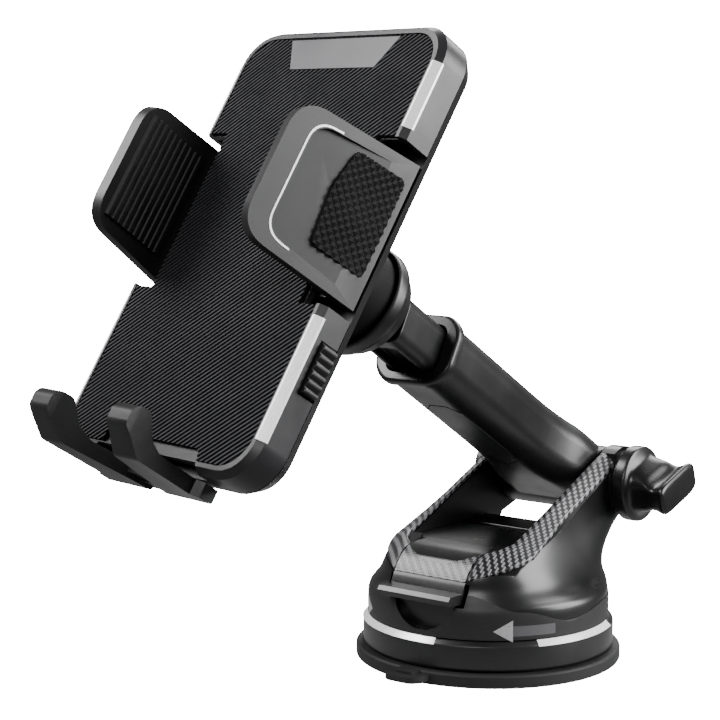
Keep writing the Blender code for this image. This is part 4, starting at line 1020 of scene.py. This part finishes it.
# ---------------------------------------------------------------- arm
@dataclass
class Arm:
    """Outer sleeve, its inlay and mouth, the inner rod and the ball stud."""

    shop: Workshop
    pivot: Point = (0.0, 37.0, 44.5)
    lean: float = 31.0
    rows: tuple[tuple[float, ...], ...] = (
        (1.0, 15.0, 9.2, 8.6), (9.0, 15.0, 9.3, 8.6), (15.0, 14.2, 9.5, 8.65), (21.0, 12.5, 9.65, 8.7),
        (27.0, 11.5, 9.7, 8.6), (34.0, 11.15, 9.7, 8.5), (52.0, 11.05, 9.65, 8.45), (79.0, 11.0, 9.6, 8.4))
    corner: float = 4.2
    nut_section: tuple[tuple[float, float], ...] = (
        (9.6, -12.6), (10.6, -12.6), (11.8, -11.6), (13.2, -9.2), (14.0, -8.2), (14.4, -7.2), (14.4, -4.6),
        (13.9, -3.9), (13.4, -4.3), (13.2, -5.6), (9.6, -5.8))
    collar: tuple[tuple[float, float], ...] = ((11.0, -5.2), (12.4, -5.2), (12.7, -4.8), (12.7, 12.6), (11.0, 12.6))
    inlay: tuple[float, float, float] = (5.75, 26.85, 66.15)

    @property
    def place(self) -> Matrix:
        """The arm's frame, its third axis along the arm."""
        s, c = math.sin(math.radians(self.lean)), math.cos(math.radians(self.lean))
        return axes(self.pivot, (1.0, 0.0, 0.0), (0.0, s, c), (0.0, -c, s))

    def build(self) -> None:
        """Build and dress the arm."""
        self.sleeve()
        self.shop.dressed("arm_inlay", "plate", "rim", 0.15)
        self.mouth()
        self.rod()
        self.shop.dressed("ball_stud", "moulding", "satin", 0.2)
        self.shop.kept("inner", "friction_shoe", "socket_liner")
        self.collet()
        self.nut()

    def section(self, half: float, up: float, down: float) -> list[tuple[float, float]]:
        """Return the sleeve's section: a rectangle with softened cut corners."""
        c = self.corner
        return rounded_section(((half, up - c), (half - c, up), (c - half, up), (-half, up - c), (-half, c - down),
                                (c - half, -down), (half - c, -down), (half, c - down)), 2.6, steps=5)

    def sleeve(self) -> None:
        """Hollow sleeve with its flared root, barrel and inlay pocket."""
        rings = [[(x, y, s) for x, y in self.section(half, up, down)] for s, half, up, down in eased(self.rows, 5)]
        half, low, high = self.inlay
        outline = ((-half, low + 5.0), (0.0, low), (half, low + 5.0), (half, high - 4.0), (half - 3.0, high),
                   (3.0 - half, high), (-half, high - 4.0))
        sleeve = carve(skinned(rings), (bar(9.3, -15.0, 15.0, (0.0, 0.0), place_x, 96),), Carve.ADD)
        sleeve = carve(sleeve, (block((-7.9, 7.9), (-6.4, 7.4), (15.0, 90.0)),
                                bar(3.06, -30.0, 30.0, (0.0, 0.0), place_x),
                                slab(outline, -12.0, -7.5, place_y)))
        self.shop.piece("outer_arm_moulding", sleeve, "satin", "outer_arm", ("outer_arm",), self.place, edge=0.3,
                        angle=40.0)

    def bore(self, grow: float) -> list[tuple[float, float]]:
        """Return the rounded outline of the sleeve's bore, grown all round."""
        half, up, down = 7.9 + grow, 7.4 + grow, 6.4 + grow
        return rounded_section(((half, up), (-half, up), (-half, -down), (half, -down)), 3.6, steps=8)

    def rod(self) -> None:
        """Inner arm: a rounded tube, channelled underneath, that slides in the sleeve."""
        rod = carve(slab(self.bore(-0.4), 32.0, 100.0), (block((-4.3, 4.3), (-9.0, -3.8), (37.0, 96.0)),
                                                         bar(3.05, 90.0, 102.0)))
        self.shop.piece("inner_arm_moulding", rod, "satin", "inner_arm", ("inner_arm",), self.place, edge=0.4,
                        segments=3, angle=50.0)

    def mouth(self) -> None:
        """Stepped rim round the sleeve's mouth."""
        rings = [[(x, y, s) for x, y in self.section(11.0 + g, 9.6 + g, 8.4 + g)]
                 for s, g in ((79.3, 0.1), (79.5, 0.7), (80.0, 0.9), (81.6, 0.9), (82.3, 0.6), (82.6, 0.0))]
        rim = carve(skinned(rings), (slab(self.bore(0.0), 70.0, 90.0),))
        self.shop.piece("mouth_bezel_moulding", rim, "satin", "outer_arm", ("mouth_bezel",), self.place, edge=0.3,
                        angle=45.0)

    def collet(self) -> None:
        """Split socket with the collar between nut and cradle; socket and collar take a near-black, barely reflective
        finish that stands for the shade in the cavity there, painted shade.
        """
        place = Cradle(self.shop).place
        place.translation = Vector(Cradle.ball)
        collar = turned(rounded_section(self.collar, 0.4), 96)
        bmesh.ops.transform(collar, matrix=place, verts=collar.verts)
        self.shop.piece("collet_moulding", carve(self.shop.copy("collet"), (collar,), Carve.ADD), "socket", "collet",
                        ("collet",), edge=0.2)

    def nut(self) -> None:
        """Flared lock nut round the socket."""
        shape = turned(rounded_section(self.nut_section, 0.5), 128)
        ball = Vector(Cradle.ball)
        place = Cradle(self.shop).place
        place.translation = ball
        self.shop.piece("lock_nut_moulding", shape, "satin", "nut", ("lock_nut",), place)


# ---------------------------------------------------------------- cradle
@dataclass
class Cradle:
    """Frame, pads, jaws, buttons, feet and the rear cover."""

    shop: Workshop
    origin: Point = (-5.6994, -91.8460, 118.6155)
    right: Point = (0.98104, -0.19376, 0.00419)
    up: Point = (0.10085, 0.52883, 0.84272)
    ball: Point = (0.0, -63.2886, 104.7595)
    rib_pitch: float = 1.12
    rib_turn: float = 40.0
    rib_deep: float = 0.5
    stud_pitch: float = 1.6
    stud_high: float = 0.85
    stud_turn: float = 43.0
    jaw_v: float = 6.5
    jaw_lean: float = 11.5
    jaw_root: tuple[float, float] = (36.5, -8.4)
    grip: tuple[tuple[float, float], ...] = ((-11.4, 1.6), (13.6, 1.6), (13.4, 15.6), (3.0, 17.6), (-10.6, 16.4))

    jaw_outline: tuple[tuple[float, float], ...] = ((-18.6, 0.0), (-16.6, 33.4), (16.6, 33.4), (18.6, 0.0))
    jaw_panel: tuple[tuple[float, float], ...] = ((-15.8, 7.0), (-13.8, 27.6), (13.8, 27.6), (15.8, 7.0))
    panel_deep: float = 1.2
    rail_section: tuple[tuple[float, float], ...] = ((36.92, -2.1), (36.92, -1.46), (35.34, 0.12), (34.75, 0.12),
                                                     (34.75, -0.3), (35.95, -2.1))
    rail_runs: dict[str, tuple[float, float]] = field(
        default_factory=lambda: {"upper": (30.5, 48.0), "lower": (-48.0, -17.5)})

    @property
    def place(self) -> Matrix:
        """The cradle's frame."""
        u = Vector(self.right).normalized()
        w = u.cross(Vector(self.up)).normalized()
        return axes(self.origin, u, w.cross(u), w)

    def build(self) -> None:
        """Build and dress the cradle."""
        self.shop.dressed("front_frame", "moulding", "rim", 0.4, 3)
        self.shop.dressed("rear_cover", "moulding", "satin", 0.5, 3)
        self.shop.dressed("notch_plate", "moulding", "plate", 0.15)
        for side in ("left", "right"):
            for part in ("upper", "lower"):
                self.rail(side, part)
            self.jaw(side, -1 if side == "left" else 1)
            self.shop.dressed(f"jaw_pad_{side}", "moulding", "ribs", 0.12)
            self.shop.dressed(f"button_{side}", "moulding", "satin", 0.18)
            self.studs(side, -1 if side == "left" else 1)
        self.feet()
        self.face_pad()
        self.shop.kept("steel", "cover_screw_1", "cover_screw_2", "cover_screw_3", "cover_screw_4")
        self.shop.kept("inner", "inner_chassis", "pinion", "rack_left", "rack_right")

    def face_pad(self) -> None:
        """Rubber pad whose face is cut in fine diagonal ribs."""
        base = self.shop.copy("face_pad")
        bmesh.ops.transform(base, matrix=self.place.inverted(), verts=base.verts)
        top = max(v.co.z for v in base.verts)
        reach = 74.0
        count = int(2 * reach / self.rib_pitch)
        outline = [(-reach, top - 3.0)]
        for k in range(count):
            start = -reach + k * self.rib_pitch
            outline += [(start + 0.10 * self.rib_pitch, top - self.rib_deep),
                        (start + 0.34 * self.rib_pitch, top + 0.02), (start + 0.66 * self.rib_pitch, top + 0.02),
                        (start + 0.90 * self.rib_pitch, top - self.rib_deep)]
        outline.append((-reach + count * self.rib_pitch, top - 3.0))
        comb = slab(outline, -reach, reach, place_y)
        bmesh.ops.rotate(comb, verts=comb.verts, cent=(0, 0, 0),
                         matrix=Matrix.Rotation(math.radians(self.rib_turn - 90.0), 3, "Z"))
        self.shop.piece("face_pad_ribbed", carve(base, (comb,), Carve.KEEP), "crests", "cradle", ("face_pad",),
                        self.place, shaded=False)

    def jaw_point(self, side: int) -> Place:
        """Return the map from jaw coordinates to the cradle's frame."""
        lean = math.radians(self.jaw_lean)

        def spot(v: float, along: float, inward: float) -> Point:
            """Place a point given across, along and into the jaw."""
            u = self.jaw_root[0] - along * math.sin(lean) - inward * math.cos(lean)
            w = self.jaw_root[1] + along * math.cos(lean) - inward * math.sin(lean)
            return side * u, self.jaw_v + v, w
        return spot

    def rail(self, side: str, part: str) -> None:
        """Bright rail wrapped over the long chamfer of the frame."""
        sign = -1 if side == "left" else 1
        low, high = self.rail_runs[part]
        outline = [(sign * u, w) for u, w in self.rail_section]
        self.shop.piece(f"rail_{side}_{part}_foil", slab(outline, low, high, place_y), "bright", "cradle",
                        (f"rail_{side}_{part}",), self.place, edge=0.1)

    def jaw(self, word: str, side: int) -> None:
        """Leaning jaw plate: rounded tips, a framed panel that runs out at the root, and its inner carrier; a thin
        bright strip round the panel's tip end is a painted highlight.
        """
        spot = self.jaw_point(side)
        outline = rounded_section(self.jaw_outline, 7.5, False, 10)
        plate = slab(outline, 0.0, 3.0, spot)
        inner = rounded_section(self.jaw_panel, 5.0, False, 8)
        base, span = self.jaw_panel[0][1], self.jaw_panel[1][1] - self.jaw_panel[0][1]
        panel = skinned([[spot(v, t, -3.0) for v, t in inner],
                         [spot(v * 0.985, t - 0.5 * (t > base + 1), 0.03 + self.panel_deep * (t - base) / span)
                          for v, t in inner]])
        pocket = slab(rounded_section(self.grip, 1.2, steps=2), -3.0, 0.95, spot)
        plate = carve(plate, (panel, pocket))
        low, high = sorted((side * 27.0, side * 34.6))
        plate = carve(plate, (block((low, high), (self.jaw_v - 18.0, self.jaw_v + 18.0), (-8.4, -3.6)),), Carve.ADD)
        self.shop.piece(f"jaw_{word}_moulding", plate, "grey", f"jaw_{word}", (f"jaw_{word}",), self.place,
                        edge=0.45, segments=3, angle=40.0)
        # Thin bright strip along the tip end of the panel's frame: a painted highlight where the recess's rounded
        # edge catches the light.
        grown = [(v + 0.4 * (1 if v > 0 else -1), t + 0.4 * (t > base + 1)) for v, t in self.jaw_panel]
        line = slab(rounded_section(grown, 5.2, False, 8), -0.1, 0.5, spot)
        line = carve(line, (slab(inner, -1.0, 1.0, spot),))
        tip = slab(((-20.0, 20.5), (20.0, 20.5), (20.0, 30.0), (-20.0, 30.0)), -2.0, 2.0, spot)
        self.shop.piece(f"jaw_{word}_painted_highlight_strip", carve(line, (tip,), Carve.KEEP), "bright", f"jaw_{word}", (),
                        self.place)

    def feet(self) -> None:
        """Foot bracket: forked plate whose tips curl up, with its tongue and the small rib block."""
        low, high = -62.3, -58.7
        side = rounded_section(((-8.6, low), (14.2, low), (21.2, -56.8), (21.2, -53.4), (19.8, -51.8),
                                (16.4, -51.8), (12.6, -57.0), (9.0, high), (-8.6, high)), 0.9, steps=5)
        curl = slab([(w, v) for w, v in side], -21.0, 21.0, lambda a, b, c: (c, b, a))
        legs = []
        for sign in (-1, 1):
            plan = [(sign * u, w) for u, w in ((3.2, -8.6), (19.6, -8.6), (19.6, -4.6), (17.4, -3.4),
                                               (19.6, 19.0), (19.2, 22.0), (12.0, 22.0), (11.6, 19.0), (4.2, -3.6))]
            legs.append(carve(curl_copy(curl), (slab(plan, -64.0, -50.0, place_y),), Carve.KEEP))
        curl.free()
        bar_low = block((-19.6, 19.6), (low + 0.8, high), (-8.6, -4.9))
        tongue = block((-12.0, 12.0), (high - 1.0, -36.0), (-8.2, -6.4))
        rib = block((-5.5, 5.5), (low + 1.2, high - 0.1), (-5.5, -1.4))
        bracket = carve(bar_low, (legs[0], legs[1], tongue, rib), Carve.ADD)
        self.shop.piece("foot_bracket_moulding", bracket, "satin", "feet", ("foot_bracket",), self.place,
                        edge=0.45, segments=3, angle=36.0)

    def studs(self, word: str, side: int) -> None:
        """Grip patch: a lattice of small pyramids cut to the patch's outline."""
        bm = bmesh.new()
        cells = 26
        bmesh.ops.create_grid(bm, x_segments=cells, y_segments=cells, size=cells * self.stud_pitch / 2)
        bmesh.ops.poke(bm, faces=bm.faces[:], offset=self.stud_high)
        bmesh.ops.rotate(bm, verts=bm.verts, cent=(0, 0, 0),
                         matrix=Matrix.Rotation(math.radians(self.stud_turn), 3, "Z"))
        mid = Vector((sum(a for a, _ in self.grip), sum(b for _, b in self.grip))) / len(self.grip)
        bmesh.ops.translate(bm, vec=(mid.x, mid.y, 0.0), verts=bm.verts)
        corners = rounded_section(self.grip, 1.4, steps=2)
        for one, two in zip(corners, [*corners[1:], corners[0]]):
            run = Vector(two) - Vector(one)
            if run.length < 1e-4:
                continue
            bmesh.ops.bisect_plane(bm, geom=bm.verts[:] + bm.edges[:] + bm.faces[:], dist=1e-5,
                                   plane_co=(one[0], one[1], 0.0), plane_no=(run.y, -run.x, 0.0), clear_outer=True)
        rim = [e for e in bm.edges if e.is_boundary]
        grown = bmesh.ops.extrude_edge_only(bm, edges=rim)["geom"]
        for vert in (v for v in grown if isinstance(v, bmesh.types.BMVert)):
            vert.co.z = -0.8
        bmesh.ops.holes_fill(bm, edges=[e for e in bm.edges if e.is_boundary], sides=0)
        spot = self.jaw_point(side)
        for vert in bm.verts:
            vert.co = spot(vert.co.x, vert.co.y, 0.05 - vert.co.z)
        bmesh.ops.recalc_face_normals(bm, faces=bm.faces)
        self.shop.piece(f"grip_{word}_studs", bm, "stud", f"jaw_{word}", (f"grip_{word}",), self.place,
                        shaded=False)


# ---------------------------------------------------------------- studio
@dataclass
class Studio:
    """Pale floor, soft lamps and the camera."""

    target: Point = (-0.0038, -0.0521, 0.0859)
    distance: float = 0.5
    azimuth: float = 37.87
    elevation: float = 7.3
    lens: float = 100.06
    sensor: float = 36.0
    ambient: float = 0.2
    white: float = 30.0
    floor_reach: float = 0.16
    floor_share: float = 0.35

    def build(self) -> None:
        """Set the scene."""
        self.floor()
        self.world()
        self.lamp("key", (-0.75, -0.55, 0.95), (0.0, -0.05, 0.1), (0.6, 0.6), 20.0)
        self.lamp("side", (0.95, 0.48, 0.52), (0.0, 0.0, 0.08), (0.75, 0.9), 34.0)
        self.lamp("front", (0.35, -1.15, 0.75), (0.0, -0.03, 0.08), (0.5, 0.35), 7.0)
        self.lamp("back", (-0.25, 0.95, 0.8), (0.0, 0.0, 0.08), (0.9, 0.5), 12.0)
        self.camera()

    def floor(self) -> None:
        """Pale floor that thins out into the white room away from the object."""
        bm = bmesh.new()
        bmesh.ops.create_grid(bm, x_segments=8, y_segments=8, size=6.0)
        mesh = bpy.data.meshes.new("studio_floor")
        bm.to_mesh(mesh)
        bm.free()
        mat, tree, shader, coords = Finish("paper_backdrop_matt", Slot.GEL, "#fbfbfb", 0.9, specular=0.1).start()
        away = add_node(tree, "ShaderNodeVectorMath", {"operation": "LENGTH"}, {0: coords}).outputs["Value"]
        fade = add_node(tree, "ShaderNodeMapRange", {"interpolation_type": "SMOOTHSTEP", "From Min": 0.03,
                                                     "From Max": self.floor_reach, "To Min": self.floor_share,
                                                     "To Max": 0.0}, {"Value": away})
        tree.links.new(fade.outputs["Result"], shader.inputs["Alpha"])
        mesh.materials.append(mat)
        floor = bpy.data.objects.new("studio_floor", mesh)
        bpy.context.scene.collection.objects.link(floor)

    def world(self) -> None:
        """White surroundings that light the object only faintly."""
        world = bpy.data.worlds.new("white_room")
        world.use_nodes = True
        tree = world.node_tree
        back = tree.nodes["Background"]
        back.inputs["Color"].default_value = linear("#ffffff")
        seen = add_node(tree, "ShaderNodeLightPath").outputs["Is Camera Ray"]
        share = add_node(tree, "ShaderNodeMapRange", {"To Min": self.ambient, "To Max": self.white}, {"Value": seen})
        tree.links.new(share.outputs["Result"], back.inputs["Strength"])
        bpy.context.scene.world = world

    def lamp(self, name: str, spot: Point, aim: Point, size: tuple[float, float], power: float) -> None:
        """Add a rectangular soft lamp that faces a point."""
        data = bpy.data.lights.new(name, "AREA")
        data.shape, data.size, data.size_y, data.energy = "RECTANGLE", size[0], size[1], power
        lamp = bpy.data.objects.new(name, data)
        lamp.location = spot
        lamp.rotation_euler = (Vector(aim) - Vector(spot)).to_track_quat("-Z", "Y").to_euler()
        bpy.context.scene.collection.objects.link(lamp)

    def camera(self) -> None:
        """Set the camera."""
        data = bpy.data.cameras.new("camera")
        data.lens, data.sensor_width = self.lens, self.sensor
        camera = bpy.data.objects.new("camera", data)
        turn, rise = math.radians(self.azimuth), math.radians(self.elevation)
        right = Vector((math.cos(turn), math.sin(turn), 0.0))
        back = Vector((math.sin(turn) * math.cos(rise), -math.cos(turn) * math.cos(rise), math.sin(rise)))
        camera.matrix_world = axes(Vector(self.target) + back * self.distance, right, back.cross(right), back)
        bpy.context.scene.collection.objects.link(camera)
        bpy.context.scene.camera = camera


def main() -> None:
    """Load the frame, build every sub-assembly in order and set the studio."""
    logging.basicConfig(level=logging.INFO, format="%(message)s")
    for obj in list(bpy.data.objects):
        bpy.data.objects.remove(obj)
    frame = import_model()
    shop = Workshop(frame["nodes"], Palette())
    for part in (SuctionBase(shop), Pivot(shop), Arm(shop), Cradle(shop)):
        part.build()
        LOG.info("%s built", type(part).__name__)
    Studio().build()


if __name__ == "__main__":
    main()
